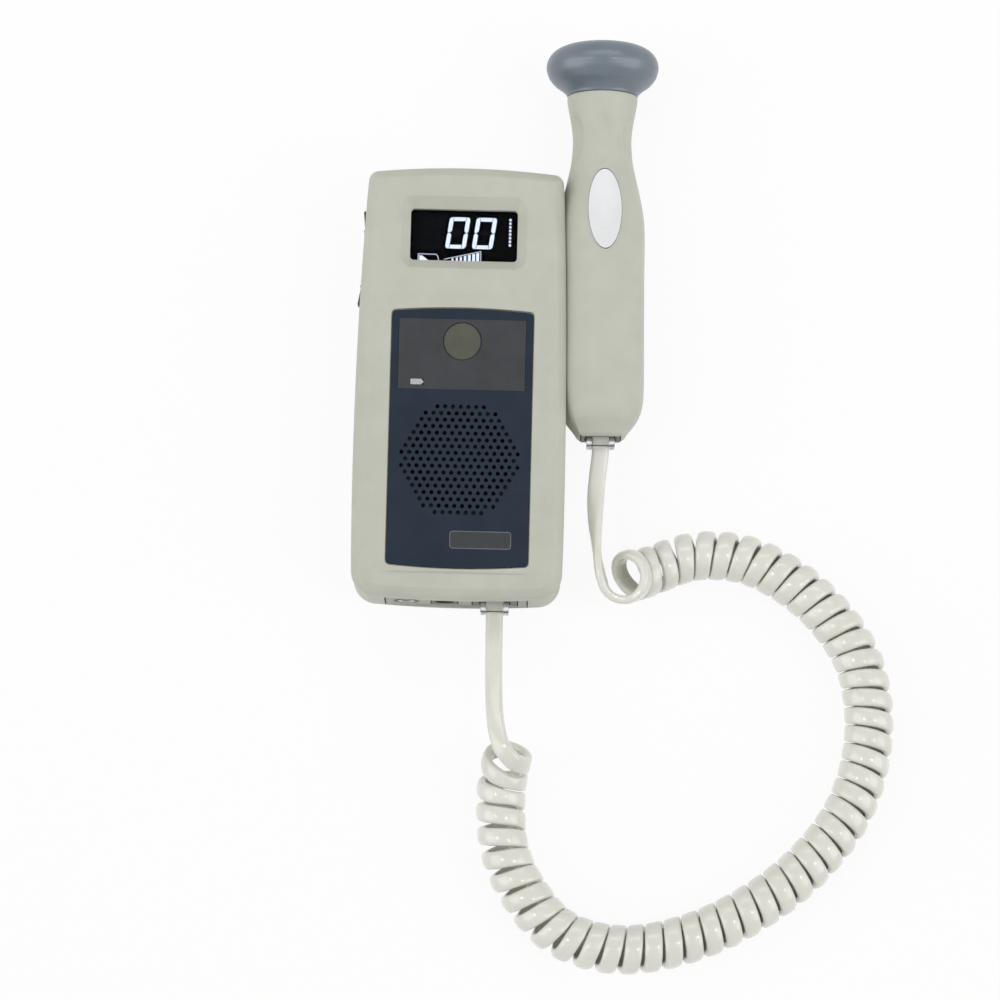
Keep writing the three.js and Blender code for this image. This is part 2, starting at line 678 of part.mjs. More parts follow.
function doorRecess() {
  const foot = -caseLength / 2 - overrun;
  const mouth = block(-doorHalf - gap, doorHalf + gap, foot, doorTop + gap, -overrun, doorInner + gap);
  const tongueZ = doorInner - doorTongueThickness - gap;
  const tongues = block(-doorHalf - doorTongue - gap, doorHalf + doorTongue + gap, foot, doorTop + gap,
    tongueZ, doorInner + gap);
  return join(mouth, tongues);
}

function rearShell() {
  const frameHalf = doorHalf + doorTongue + gap + doorFrame;
  const frame = block(-frameHalf, frameHalf, -caseLength, doorTop + gap + doorFrame, -overrun, frameFloor);
  const bay = cut(
    block(-bayHalf - bayWall, bayHalf + bayWall, bayFoot - bayWall, bayTop + bayWall, caseWall,
      boardBottom - gap),
    block(-bayHalf, bayHalf, bayFoot, bayTop, 0, caseDepth));
  const hollow = cut(caseInner(), dockRod(handleRadius + dockClearance + caseWall), frame);
  const bosses = screwPlaces.map(([x, y]) =>
    rod(screw.headRadius + gap + bossWall / 2, caseWall / 2, webTop, x, y, bossSides)
      .intersect(backOuter()));
  const screwRoom = screwPlaces.map(([x, y]) => join(
    rod(screw.headRadius + gap, -overrun, screwHeadTop + gap, x, y, bossSides),
    rod(screw.shankRadius + gap, 0, webTop + overrun, x, y, 8)));
  const bayOpening = block(-bayHalf, bayHalf, bayFoot, bayTop, doorSink, frameFloor + overrun);
  const shell = join(cut(backOuter(), hollow), bay, ...bosses);
  return cut(shell, doorRecess(), bayOpening, ...screwRoom, endOpening(), endFlangeRoom(),
    dockRod(handleRadius + dockClearance));
}

function batteryDoor() {
  const inside = toSolid(skin([
    caseRing(draft, caseWall + backBevelHeight),
    caseRing(draft, backBevelHeight),
    caseRing(backBevelWidth, doorSink),
  ]));
  const foot = -caseLength / 2;
  const body = block(-doorHalf, doorHalf, foot, doorTop, doorSink, doorInner);
  const tongues = block(-doorHalf - doorTongue, doorHalf + doorTongue, foot, doorTop,
    doorInner - doorTongueThickness, doorInner);
  const grips = [];
  for (let i = 0; i < doorGrip.count; i += 1) {
    const y = doorTop - doorGrip.fromEnd - i * doorGrip.spacing;
    grips.push(block(-doorGrip.width / 2, doorGrip.width / 2, ...spread(y, doorGrip.spacing / 4),
      0, doorSink + doorGrip.depth));
  }
  return cut(join(body, tongues).intersect(inside), ...grips);
}

function frontPanel() {
  const shape = panelOutline(0);
  for (const [x, y] of grilleHoles()) {
    const hole = new THREE.Path();
    for (let i = 0; i < grille.sides; i += 1) {
      const angle = (i + 1 / 2) * 2 * Math.PI / grille.sides;
      const [px, py] = [x + grille.holeRadius * Math.cos(angle), y + grille.holeRadius * Math.sin(angle)];
      if (i === 0) hole.moveTo(px, py);
      else hole.lineTo(px, py);
    }
    hole.closePath();
    shape.holes.push(hole);
  }
  const labelPocket = block(...spread(0, labelWidth / 2 + skinGap),
    ...spread(labelY, labelHeight / 2 + skinGap), panelFace - label.thickness, panelFace + overrun);
  const platePocket = slab(roundedRect(plate.width + 2 * skinGap, plate.height + 2 * skinGap,
    plate.radius + skinGap, plateX, plateY), panelFace - plate.thickness, panelFace + overrun, 3);
  const keyHole = rod(powerKey.radius + gap, panelBack - overrun, panelFace + overrun, 0, keyY);
  const lightHole = chargeBlock(panelBack - overrun, panelFace + overrun, -gap);
  return cut(slab(shape, panelBack, panelFace, 4), labelPocket, platePocket, keyHole, lightHole);
}

function keyLabel() {
  const foot = panelFace - label.thickness + skinGap;
  const sheet = block(...spread(0, labelWidth / 2), ...spread(labelY, labelHeight / 2),
    foot, panelFace);
  const keyHole = rod(powerKey.radius + gap, foot - overrun, panelFace + overrun, 0, keyY);
  const lightHole = chargeBlock(foot - overrun, panelFace + overrun, -skinGap);
  return cut(sheet, keyHole, lightHole);
}

function modelPlate() {
  return slab(roundedRect(plate.width, plate.height, plate.radius, plateX, plateY),
    panelFace - plate.thickness + skinGap, panelFace, 3);
}

const switchTop = boardFace + skinGap + tactSwitch.height;
const plungerTop = switchTop + tactSwitch.plungerHeight;

function powerButton() {
  const edge = panelFace - powerKey.sink;
  const flangeTop = pocketCeiling - gap;
  const flangeFoot = flangeTop - keyFlange.thickness;
  const dome = keyDomeShares.map(([across, up]) => [across * powerKey.radius, edge + up * powerKey.dome]);
  return turnedUpright([
    [0, plungerTop + powerTravel + skinGap],
    [powerKey.stemRadius, plungerTop + powerTravel + skinGap],
    [powerKey.stemRadius, flangeFoot],
    [powerKey.radius + keyFlange.reach, flangeFoot],
    [powerKey.radius + keyFlange.reach, flangeTop],
    [powerKey.radius, flangeTop],
    ...dome,
  ], 0, keyY);
}

function powerSwitch() {
  const half = tactSwitch.width / 2;
  return join(
    block(-half, half, keyY - half, keyY + half, boardFace + skinGap, switchTop),
    rod(tactSwitch.plungerRadius, switchTop - gap, plungerTop, 0, keyY, 12));
}

const ledTop = boardFace + skinGap + ledHeight;

// A block under, in or round the charge light, as much smaller than the light as the trim
function chargeBlock(z0, z1, trim) {
  return block(...spread(lightX, chargeLight.width / 2 - trim),
    ...spread(lightY, chargeLight.height / 2 - trim), z0, z1);
}

function displayModule() {
  return block(...spread(0, displayOpening.width / 2 + displayModuleLap),
    ...spread(surroundY, displayOpening.height / 2 + displayModuleLap),
    boardFace + skinGap, windowBack - gap);
}

function displayWindow() {
  return slab(roundedRect(displayOpening.width + 2 * windowLap, displayOpening.height + 2 * windowLap,
    displayOpening.radius + windowLap, 0, surroundY), windowBack, windowFace, 4);
}

function mainBoard() {
  const body = block(-boardHalfWidth, boardHalfWidth, boardFoot, boardTop, boardBottom, boardFace);
  const tabHalf = rocker.length / 2 + boardTab.lap;
  const tab = block(boardTab.fromSide + rockerX, 0, ...spread(rockerY, tabHalf), boardBottom, boardFace);
  const corners = screwPlaces.map(([x, y]) =>
    rod(screw.headRadius + bossWall + gap, boardBottom - overrun, boardFace + overrun, x, y, bossSides));
  const inset = caseWall + draft + gap;
  const caseRoom = toSolid(skin([caseRing(inset, 0), caseRing(inset, caseDepth)]));
  return cut(join(body, tab).intersect(caseRoom), ...corners);
}

// Speaker, hung under the pocket's floor
const magnetFoot = boardFace + gap;
const magnetTop = magnetFoot + magnetShare * (speakerTop - magnetFoot);
const coneFoot = speakerTop - coneShare * (speakerTop - magnetTop);

function speakerFrame() {
  const neck = magnetRadius + speakerRim;
  return turnedUpright([
    [magnetRadius / 2, magnetTop + gap],
    [neck, magnetTop + gap],
    [speakerRadius - speakerRim, speakerTop - 2 * speakerSheet],
    [speakerRadius, speakerTop - speakerSheet],
    [speakerRadius, speakerTop],
    [speakerRadius - speakerRim, speakerTop],
    [speakerRadius - speakerRim - speakerSheet, speakerTop - speakerSheet],
    [neck - speakerSheet, magnetTop + gap + speakerSheet],
    [magnetRadius / 2, magnetTop + gap + speakerSheet],
    [magnetRadius / 2, magnetTop + gap],
  ], 0, grilleY);
}

function speakerCone() {
  const rim = speakerRadius - speakerRim - speakerSheet - gap;
  const rise = speakerTop - speakerSheet / 2;
  return turnedUpright([
    [0, coneFoot],
    [capRadius, coneFoot],
    [rim - speakerSheet, rise - coneThickness],
    [rim, rise - coneThickness],
    [rim, rise],
    [rim - speakerSheet, rise],
    ...capShares.map(([across, up]) => [across * capRadius, coneFoot + up * capRise]),
  ], 0, grilleY);
}

function sideSwitchSolid(side) {
  const y = side * (rocker.length / 2 - sideSwitch.fromEnd);
  const tip = rocker.depth + sideSwitch.clearance;
  const face = tip + sideSwitch.plungerLength;
  const body = blockGeometry(face, face + sideSwitch.depth, ...spread(y, sideSwitch.length / 2),
    boardFace + skinGap, rockerTop - gap);
  const plunger = new THREE.CylinderGeometry(sideSwitch.plungerRadius, sideSwitch.plungerRadius,
    sideSwitch.plungerLength + gap, 12).rotateZ(Math.PI / 2)
    .translate((tip + face + gap) / 2, y, rockerMiddle);
  return join(toSolid(onRocker(body)), toSolid(onRocker(plunger)));
}

function batteryCell(x) {
  return join(
    rodAlongY(cellRadius, cellFoot, cellTop, x, cellHeight),
    rodAlongY(cellButtonRadius, cellTop - gap, cellTop + cellButtonHeight, x, cellHeight, 8));
}

const cellPitch = 2 * cellRadius + gap;
const cellPlaces = Array.from({ length: cellCount }, (unused, i) => (i - (cellCount - 1) / 2) * cellPitch);

function contactStrip(y, bumpSide) {
  const face = y + bumpSide * contactThickness;
  const sheet = block(-bayHalf + gap, bayHalf - gap, Math.min(y, face), Math.max(y, face),
    cellHeight - cellRadius + gap, cellHeight + cellRadius - gap);
  const bumps = cellPlaces.map((x) => {
    const [y0, y1] = [face - bumpSide * contactThickness / 2, face + bumpSide * (contactBump - gap)];
    return rodAlongY(cellButtonRadius, Math.min(y0, y1), Math.max(y0, y1), x, cellHeight, 8);
  });
  return join(sheet, ...bumps);
}

// Half of a modular socket's width and height: its walls stand round the plug and its keyway
function socketHalves({ wallX, wallZ }) {
  return [plug.width / 2 + gap + wallX, (plug.height + keyway.depth + gap) / 2 + wallZ];
}

// A socket body with a cavity for the modular plug and a keyway for its tongue
function modularSocket(size, x, mouth, z) {
  const depth = plug.inserted + 4 * gap;
  const [halfX, halfZ] = socketHalves(size);
  const body = block(...spread(x, halfX), mouth, mouth + size.length, ...spread(z, halfZ));
  const lift = z + plugLift;
  const cavity = block(...spread(x, plug.width / 2 + gap), mouth - overrun, mouth + depth,
    ...spread(lift, plug.height / 2 + gap));
  const key = block(...spread(x, keyway.width / 2), mouth - overrun, mouth + depth,
    lift - plug.height / 2 - keyway.depth, lift);
  return cut(body, cavity, key);
}

// A plug whose nose is inserted past the mouth of its socket, with a tongue below it
function modularPlug(x, mouth, z) {
  const nose = mouth + plug.inserted;
  const tail = nose - plug.length;
  const foot = z - plug.height / 2;
  const body = blockGeometry(...spread(x, plug.width / 2), tail, nose, ...spread(z, plug.height / 2));
  const side = new THREE.Shape();
  side.moveTo(nose - gap, foot + gap);
  side.lineTo(tail + tongue.thickness, foot - tongue.drop);
  side.lineTo(tail + tongue.thickness, foot - tongue.drop + tongue.thickness);
  side.lineTo(nose - gap - 2 * tongue.thickness, foot + gap);
  const strip = new THREE.ExtrudeGeometry(side, { depth: tongue.width, bevelEnabled: false });
  const upright = new THREE.Matrix4().makeBasis(
    new THREE.Vector3(0, 1, 0), new THREE.Vector3(0, 0, 1), new THREE.Vector3(1, 0, 0));
  strip.applyMatrix4(upright).translate(x - tongue.width / 2, 0, 0);
  return join(toSolid(body), toSolid(strip));
}

function endPanelSolid() {
  const reach = endFlange.reach;
  const boss = block(-endHalf, endHalf, endOuter, endInner + gap,
    endFoot, endTop);
  const flange = block(-endHalf - reach, endHalf + reach, endInner,
    endInner + endFlange.thickness, endFoot - reach, endTop + reach);
  const end = endInner + endFlange.thickness + overrun;
  const [halfX, halfZ] = socketHalves(probeSocket);
  const holes = [
    block(...spread(probeSocket.x, halfX + gap), endOuter - overrun, end, ...spread(socketZ, halfZ + gap)),
    rodAlongY(roundSocket.radius + gap, endOuter - overrun, end, roundSocket.x, socketZ),
    block(...spread(chargeSocket.x, chargeSocket.width / 2 + gap), endOuter - overrun, end,
      ...spread(socketZ, chargeSocket.height / 2 + gap)),
  ];
  return cut(join(boss, flange), ...holes);
}

function headphoneSocket() {
  const front = endInner + endFlange.thickness + gap;
  const back = endOuter + roundSocket.length;
  const body = block(...spread(roundSocket.x, roundSocket.body / 2), front, back,
    ...spread(socketZ, roundSocket.body / 2));
  const collar = rodAlongY(roundSocket.radius, endOuter, front + gap, roundSocket.x, socketZ);
  const bore = rodAlongY(roundSocket.boreRadius, endOuter - overrun, back - overrun,
    roundSocket.x, socketZ);
  return cut(join(body, collar), bore);
}

function chargerSocket() {
  const back = endOuter + chargeSocket.length;
  const body = block(...spread(chargeSocket.x, chargeSocket.width / 2), endOuter, back,
    ...spread(socketZ, chargeSocket.height / 2));
  const floor = back - chargeSocket.wall;
  const bore = rodAlongY(chargeSocket.boreRadius, endOuter - overrun, floor,
    chargeSocket.x, socketZ);
  const pin = rodAlongY(chargeSocket.pinRadius, endOuter + chargeSocket.wall / 2, floor + gap,
    chargeSocket.x, socketZ, 12);
  return join(cut(body, bore), pin);
}

function caseScrew(x, y) {
  return cut(
    join(rod(screw.headRadius, screw.sink, screwHeadTop, x, y, 12),
      rod(screw.shankRadius - gap, screwHeadTop - gap, screw.sink + screw.length, x, y, 6)),
    block(...spread(x, screw.headRadius * slotLengthShare), ...spread(y, screw.slot / 2),
      0, screw.sink + screw.slot));
}

// One stretch of the probe's outline, from one radius to another
function stretch(start, length, from, to, shares) {
  return shares.map(([along, change, square = 0]) =>
    ({ y: start + along * length, radius: from + change * (to - from), square }));
}

const handleProfile = [
  ...stretch(handleFoot, footTaperLength, footRadius, handleRadius, footTaperShares),
  ...stretch(shoulderAt, neckLength, handleRadius, waistRadius, neckShares),
  ...stretch(waistAt, collarLength, waistRadius, collarRadius, collarShares),
];

// A ring round the handle, squared off near its foot and fluted round its waist
function handleRing({ y, radius, square }, sides, flute) {
  const along = (y - waistAt) / (fluteLength / 2);
  const depth = Math.abs(along) < 1 ? flute * (1 - along * along) : 0;
  return Array.from({ length: sides }, (unused, i) => {
    const angle = i / sides * 2 * Math.PI;
    const [c, s] = [Math.cos(angle), Math.sin(angle)];
    const corner = 1 / Math.max(Math.abs(c), Math.abs(s)) - 1;
    const wave = Math.max(0, Math.cos(fluteCount * (angle - Math.PI / 2)));
    const reach = radius * (1 + square * footSquareShare * corner) - depth * wave;
    return new THREE.Vector3(reach * c, y, reach * s);
  });
}

function handleOuter(grow, flute) {
  return toSolid(skin(handleProfile.map((place) =>
    handleRing({ ...place, radius: place.radius + grow }, handleSides, flute))));
}

function handleInner() {
  const mouth = handleTop - spigotLength - gap;
  const start = handleFoot + boreStartShare * footTaperLength;
  const bore = handleProfile.filter(({ y }) => y > start && y < mouth - overrun)
    .map((place) => ({ ...place, radius: place.radius - handleWall }));
  const collar = [mouth, handleTop + overrun].map((y) =>
    ({ y, radius: collarRadius - handleWall, square: 0 }));
  return toSolid(skin([...bore, ...collar].map((place) => handleRing(place, boreSides, 0))));
}

function probeHandle() {
  const [halfX, halfZ] = socketHalves(probeEndSocket);
  const socketRoom = block(...spread(0, halfX + gap), handleFoot - overrun,
    handleFoot + probeEndSocket.length + gap, ...spread(0, halfZ + gap));
  return cut(handleOuter(0, fluteDepth), handleInner(), socketRoom);
}

function probeHead() {
  const spigot = collarRadius - handleWall - gap;
  const inner = spigot - spigotWall;
  const room = backingRadius + gap;
  const inside = headFaceAt - headWall;
  const outline = [
    ...stretch(headSeat, headFlareLength, collarRadius, headRadius, headFlareShares),
    ...stretch(headRimAt, headCrownLength, headRadius, 0, headCrownShares),
  ];
  return turned([
    [inner, headSeat - spigotLength],
    [spigot, headSeat - spigotLength],
    [spigot, headSeat],
    ...outline.map(({ y, radius }) => [radius, y]),
    [0, inside],
    [room, inside],
    [room, headRimAt - backing.thickness],
    [inner, headSeat + spigotLength],
    [inner, headSeat - spigotLength],
  ], headSides);
}

const crystalTop = headFaceAt - headWall - gap;
const crystalFoot = crystalTop - crystal.thickness;

function halfCrystal(side) {
  const disc = turned([[0, crystalFoot], [crystal.radius, crystalFoot], [crystal.radius, crystalTop],
    [0, crystalTop]]);
  const reach = crystal.radius + overrun;
  const [x0, x1] = side > 0 ? [crystal.split / 2, reach] : [-reach, -crystal.split / 2];
  return disc.intersect(block(x0, x1, crystalFoot - overrun, crystalTop + overrun, -reach, reach));
}

function crystalBacking() {
  const top = crystalFoot - gap;
  return turned([[0, top - backing.thickness], [backingRadius, top - backing.thickness],
    [backingRadius, top], [0, top]]);
}

function probeBoardSolid() {
  const half = waistRadius - handleWall - gap;
  return block(-half, half, barrelFoot + probeBoard.fromFoot, waistAt - probeBoard.fromWaist,
    ...spread(0, probeBoard.thickness / 2));
}

function probeLabel() {
  const shape = new THREE.Shape();
  shape.absellipse(0, 0, ovalLabel.width / 2, ovalLabel.height / 2, 0, 2 * Math.PI, false, 0);
  const options = { depth: 2 * handleRadius, bevelEnabled: false, curveSegments: 9 };
  const prism = new THREE.ExtrudeGeometry(shape, options).rotateY(ovalLabelTurn)
    .translate(0, shoulderAt + ovalLabel.pastShoulder, 0);
  const sheet = cut(handleOuter(skinGap + ovalLabel.thickness, 0), handleOuter(skinGap, 0));
  return sheet.intersect(toSolid(prism));
}

// Cord: a section of sides swept along rings with their own across and outward directions
const curlSectionShares = [[-0.5, -0.5], [0.5, -0.5], [0.5, 0.3], [0, 0.5], [-0.5, 0.3]];
const leadSectionShares = [
  [-0.5, -0.22], [-0.3, -0.5], [0.3, -0.5], [0.5, -0.22],
  [0.5, 0.22], [0.3, 0.5], [-0.3, 0.5], [-0.5, 0.22],
];

function sectionRing(station, shares, width, thickness) {
  return shares.map(([a, b]) => station.point.clone()
    .addScaledVector(station.across, a * width)
    .addScaledVector(station.outward, b * thickness));
}

function smoothLine(points) {
  return new THREE.CatmullRomCurve3(points, false, 'centripetal');
}

// A station on the coil, at a share of its length and a turn angle
const coilLine = smoothLine(coilRoute.map((p) => new THREE.Vector3(...p)));
const upward = new THREE.Vector3(0, 0, 1);

function coilPoint(share, angle) {
  const tangent = coilLine.getTangentAt(share);
  const top = upward.clone().addScaledVector(tangent, -tangent.z).normalize();
  const side = new THREE.Vector3().crossVectors(top, tangent);
  const radial = top.multiplyScalar(Math.cos(angle)).addScaledVector(side, Math.sin(angle));
  return { radial, point: coilLine.getPointAt(share).addScaledVector(radial, curlRadius) };
}

// A curl is as wide as its neighbours let it be
function widthOfCurl(places, i) {
  const others = [i - curlSteps, i + curlSteps].filter((k) => k in places);
  const pitch = Math.min(...others.map((k) => places[k].point.distanceTo(places[i].point)));
  return Math.min(curlWidth, pitch - curlClearance);
}

function coilStations() {
  const steps = curlCount * curlSteps;
  const openings = Array.from({ length: steps }, (unused, i) => {
    const share = (i + 1 / 2) / steps;
    const nearUnit = Math.max(0, 1 - share / unitEndShare);
    const nearProbe = Math.max(0, 1 - (1 - share) / probeEndShare);
    return 1 + unitEndOpening * nearUnit + probeEndOpening * nearProbe ** 2;
  });
  const total = openings.reduce((sum, value) => sum + value);
  const sweep = curlCount * 2 * Math.PI + lastCurlAngle - firstCurlAngle;
  const places = [coilPoint(0, firstCurlAngle)];
  let run = 0;
  openings.forEach((value, i) => {
    run += value / total;
    places.push(coilPoint(Math.min(run, 1), firstCurlAngle + sweep * (i + 1) / steps));
  });
  return places.map(({ point, radial }, i) => {
    const [before, after] = [places[Math.max(0, i - 1)], places[Math.min(places.length - 1, i + 1)]];
    const along = after.point.clone().sub(before.point).normalize();
    const outward = radial.clone().addScaledVector(along, -radial.dot(along)).normalize();
    const across = new THREE.Vector3().crossVectors(along, outward);
    return { point, along, outward, across, width: widthOfCurl(places, i) };
  });
}

const coil = coilStations();
const coilRings = coil.map((station) =>
  sectionRing(station, curlSectionShares, station.width, cordThickness));

// Least distance between the surface points of different curls
function leastCurlGap() {
  const near = curlSteps - 1;
  const samples = coilRings.map((ring) => ring.flatMap((p, i) =>
    [p, p.clone().lerp(ring[(i + 1) % ring.length], 1 / 2)]));
  let least = Infinity;
  for (let i = 0; i < samples.length; i += 1) {
    for (let j = i + near; j < Math.min(samples.length, i + 2 * curlSteps); j += 1) {
      for (const p of samples[i]) {
        for (const q of samples[j]) least = Math.min(least, p.distanceTo(q));
      }
    }
  }
  return least;
}

// A lead from its plug to the coil: straight off the plug, through its route, and square onto the coil
function leadStations(exit, exitAlong, route, end, endAlong, turnShare) {
  const points = [
    exit.clone(),
    exit.clone().addScaledVector(exitAlong, cordWidth),
    ...route.map((p) => new THREE.Vector3(...p)),
    end.point.clone().addScaledVector(endAlong, -leadRun),
    end.point.clone(),
  ];
  const line = smoothLine(points);
  const stations = [];
  for (let i = 0; i <= leadSteps; i += 1) {
    const share = i / leadSteps;
    const along = line.getTangentAt(share);
    if (i === 0) along.copy(exitAlong);
    if (i === leadSteps) along.copy(endAlong);
    const ease = THREE.MathUtils.smoothstep(share, turnShare, 1);
    const lean = upward.clone().lerp(end.outward, ease);
    const outward = lean.addScaledVector(along, -lean.dot(along)).normalize();
    const width = THREE.MathUtils.lerp(cordWidth, end.width, ease);
    const across = new THREE.Vector3().crossVectors(along, outward);
    stations.push({ point: line.getPointAt(share), along, outward, across, width });
  }
  return stations;
}

function leadSkin(stations) {
  return skin(stations.map((station) =>
    sectionRing(station, leadSectionShares, station.width, cordThickness)));
}

// Assembly: the monitor
place(monitor, 'front_shell', frontShell(), warmGrey);
place(monitor, 'rear_shell', rearShell(), warmGrey);
place(monitor, 'front_panel', frontPanel(), navy);
place(monitor, 'key_label', keyLabel(), slate);
place(monitor, 'model_plate', modelPlate(), slate);
place(monitor, 'power_button', powerButton(), olive);
place(monitor, 'power_switch', powerSwitch(), black);
place(monitor, 'charge_light', chargeBlock(ledTop + gap, panelFace, 0), clear);
place(monitor, 'charge_led', chargeBlock(boardFace + skinGap, ledTop, gap), white);
place(monitor, 'display_window', displayWindow(), smokedWindow);
place(monitor, 'display_module', displayModule(), black);
place(monitor, 'main_board', mainBoard(), boardGreen);
place(monitor, 'speaker_frame', speakerFrame(), steel);
place(monitor, 'speaker_cone', speakerCone(), black);
place(monitor, 'speaker_magnet', rod(magnetRadius, magnetFoot, magnetTop, 0, grilleY), steel);
place(monitor, 'volume_rocker', volumeRocker(), black);
place(monitor, 'volume_switch_up', sideSwitchSolid(1), black);
place(monitor, 'volume_switch_down', sideSwitchSolid(-1), black);
cellPlaces.forEach((x, i) => place(monitor, `battery_cell_${i + 1}`, batteryCell(x), cellWrap));
place(monitor, 'battery_contacts_top', contactStrip(bayTop - skinGap, -1), steel);
place(monitor, 'battery_contacts_foot', contactStrip(bayFoot + skinGap, 1), steel);
place(monitor, 'battery_door', batteryDoor(), warmGrey);
place(monitor, 'end_panel', endPanelSolid(), blueGrey);
place(monitor, 'probe_socket', modularSocket(probeSocket, probeSocket.x, endOuter, socketZ), black);
place(monitor, 'headphone_socket', headphoneSocket(), black);
place(monitor, 'charger_socket', chargerSocket(), black);
screwPlaces.forEach(([x, y], i) => place(monitor, `case_screw_${i + 1}`, caseScrew(x, y), steel));

// Assembly: the probe, docked
place(probe, 'probe_head', probeHead(), blueGrey);
place(probe, 'probe_handle', probeHandle(), warmGrey);
place(probe, 'probe_label', probeLabel(), white);
place(probe, 'probe_end_socket', modularSocket(probeEndSocket, 0, handleFoot, 0), black);
place(probe, 'transmit_crystal', halfCrystal(1), ceramic);
place(probe, 'receive_crystal', halfCrystal(-1), ceramic);
place(probe, 'crystal_backing', crystalBacking(), black);
place(probe, 'probe_board', probeBoardSolid(), boardGreen);
place(probe, 'probe_plug', modularPlug(0, handleFoot, plugLift), clear);
probe.position.set(dockAxisX, 0, probeAxisHeight);
probe.rotation.z = dockAngle;

// Assembly: the cord
const coilStart = coil[0];
const coilEnd = coil[coil.length - 1];
const plugTail = plug.length - plug.inserted + gap;
const unitExit = new THREE.Vector3(probeSocket.x, endOuter - plugTail, socketZ + plugLift);
const probeExit = new THREE.Vector3(0, handleFoot - plugTail, plugLift);
probe.updateMatrixWorld(true);
probeExit.applyMatrix4(probe.matrixWorld);
const down = new THREE.Vector3(0, -1, 0);
const probeDown = down.clone().transformDirection(probe.matrixWorld);
const startFace = { ...coilStart, point: coilStart.point.clone().addScaledVector(coilStart.along, -gap) };
const endFace = { ...coilEnd, point: coilEnd.point.clone().addScaledVector(coilEnd.along, gap) };
const unitLead = leadStations(unitExit, down, unitLeadRoute, startFace, coilStart.along, unitTurnShare);
const coilDown = coilEnd.along.clone().negate();
const probeLead = leadStations(probeExit, probeDown, probeLeadRoute, endFace, coilDown, probeTurnShare);
place(cord, 'unit_plug', modularPlug(probeSocket.x, endOuter, socketZ + plugLift), clear);
place(cord, 'unit_lead', leadSkin(unitLead), ivory);
place(cord, 'curly_cord', skin(coilRings), ivory);
place(cord, 'probe_lead', leadSkin(probeLead), ivory);
console.log(`least gap between curls ${leastCurlGap().toFixed(2)} mm`);

// The origin is under the middle of the monitor and its docked probe, on the surface they lie on
const assembly = new THREE.Group();
assembly.add(monitor, probe, cord);
const bounds = new THREE.Box3().setFromObject(monitor).union(new THREE.Box3().setFromObject(probe, true));
const middle = bounds.getCenter(new THREE.Vector3());
assembly.position.set(-middle.x, -middle.y, -bounds.min.z);

export default assembly;
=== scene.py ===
import math

import bmesh
import bpy
from mathutils import Matrix, Quaternion, Vector


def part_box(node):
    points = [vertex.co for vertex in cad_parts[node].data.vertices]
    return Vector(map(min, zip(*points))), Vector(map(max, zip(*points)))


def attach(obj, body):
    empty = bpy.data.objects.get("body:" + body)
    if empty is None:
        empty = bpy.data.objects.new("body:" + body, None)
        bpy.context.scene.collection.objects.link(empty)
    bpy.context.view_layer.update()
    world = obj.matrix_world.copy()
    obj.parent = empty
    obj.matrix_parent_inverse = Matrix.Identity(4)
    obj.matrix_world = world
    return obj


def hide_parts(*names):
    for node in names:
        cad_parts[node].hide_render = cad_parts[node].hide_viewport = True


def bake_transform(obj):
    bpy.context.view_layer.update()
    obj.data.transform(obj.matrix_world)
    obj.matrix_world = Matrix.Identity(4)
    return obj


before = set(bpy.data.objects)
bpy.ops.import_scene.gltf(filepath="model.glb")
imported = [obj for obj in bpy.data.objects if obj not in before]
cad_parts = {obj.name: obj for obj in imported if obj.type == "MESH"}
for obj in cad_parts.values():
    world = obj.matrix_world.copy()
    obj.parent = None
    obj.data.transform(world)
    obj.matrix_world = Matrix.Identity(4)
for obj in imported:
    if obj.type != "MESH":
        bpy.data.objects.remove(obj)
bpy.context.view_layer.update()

# The model's own millimetres: the case's middle is at 0, 0 and it lies on z = 0
PANEL_MIDDLE = -19.5
panel_low, panel_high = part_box("front_panel")
offset = Vector(((panel_low.x + panel_high.x) / 2, (panel_low.y + panel_high.y) / 2 - PANEL_MIDDLE / 1000, 0))
TO_FRAME = Matrix.Translation(offset) @ Matrix.Scale(0.001, 4)

# The docked probe lies along its own Y axis, turned a little and lifted into the groove
DOCK_X, PROBE_AXIS, DOCK_TURN = 47.75, 19.7, math.radians(0.9)
TO_DOCK = Matrix.Translation((DOCK_X, 0, PROBE_AXIS)) @ Matrix.Rotation(DOCK_TURN, 4, "Z")

# Case: a bevel is its width and its height, and the corners are radii seen from above
CASE_LENGTH, CASE_WIDTH, CASE_TOP_WIDTH, CASE_DEPTH = 150, 72.8, 66.6, 32
WIDEST_Y, TOP_ARCH, FOOT_ARCH, TOP_CORNER, FOOT_CORNER = -27, 2, 1.7, 3.6, 8.5
WALL, DRAFT, PARTING, PART_GAP = 2.2, 0.5, 14, 0.3
FACE_BEVEL, BACK_BEVEL, BEVEL_CURVE = (3.5, 4), (3.8, 5.5), 1.95
DOCK_RADIUS, DOCK_REACH = 15.3, 150
# The crease over a bevel and both halves of the groove at the parting line, as insets and heights
CREASE = ((0.32, 0.16), (0.08, 0.05), (-0.3, 0))
FRONT_SEAM, BACK_SEAM = ((0.35, 0.3), (0.1, 0.38), (0, 0.65)), ((0, 0.35), (0.1, 0.08), (0.35, 0))

# Inside the shells: the screw bosses and holes, and the walls under the panel and round the display
BOSS_RADIUS, BOSS_FOOT, BOSS_TOP, SCREW_HOLE, SCREW_END = 3.05, 5.4, 30.1, 1.25, 19.5
PANEL_UNDER, SURROUND_UNDER, SURROUND_WALL, WELL = 28.1, 27.2, (46.1, 27.4, 4.5), (40.3, 21.6, 3)
# A place past the foot end, from which cuts run into it
PAST_FOOT = -90

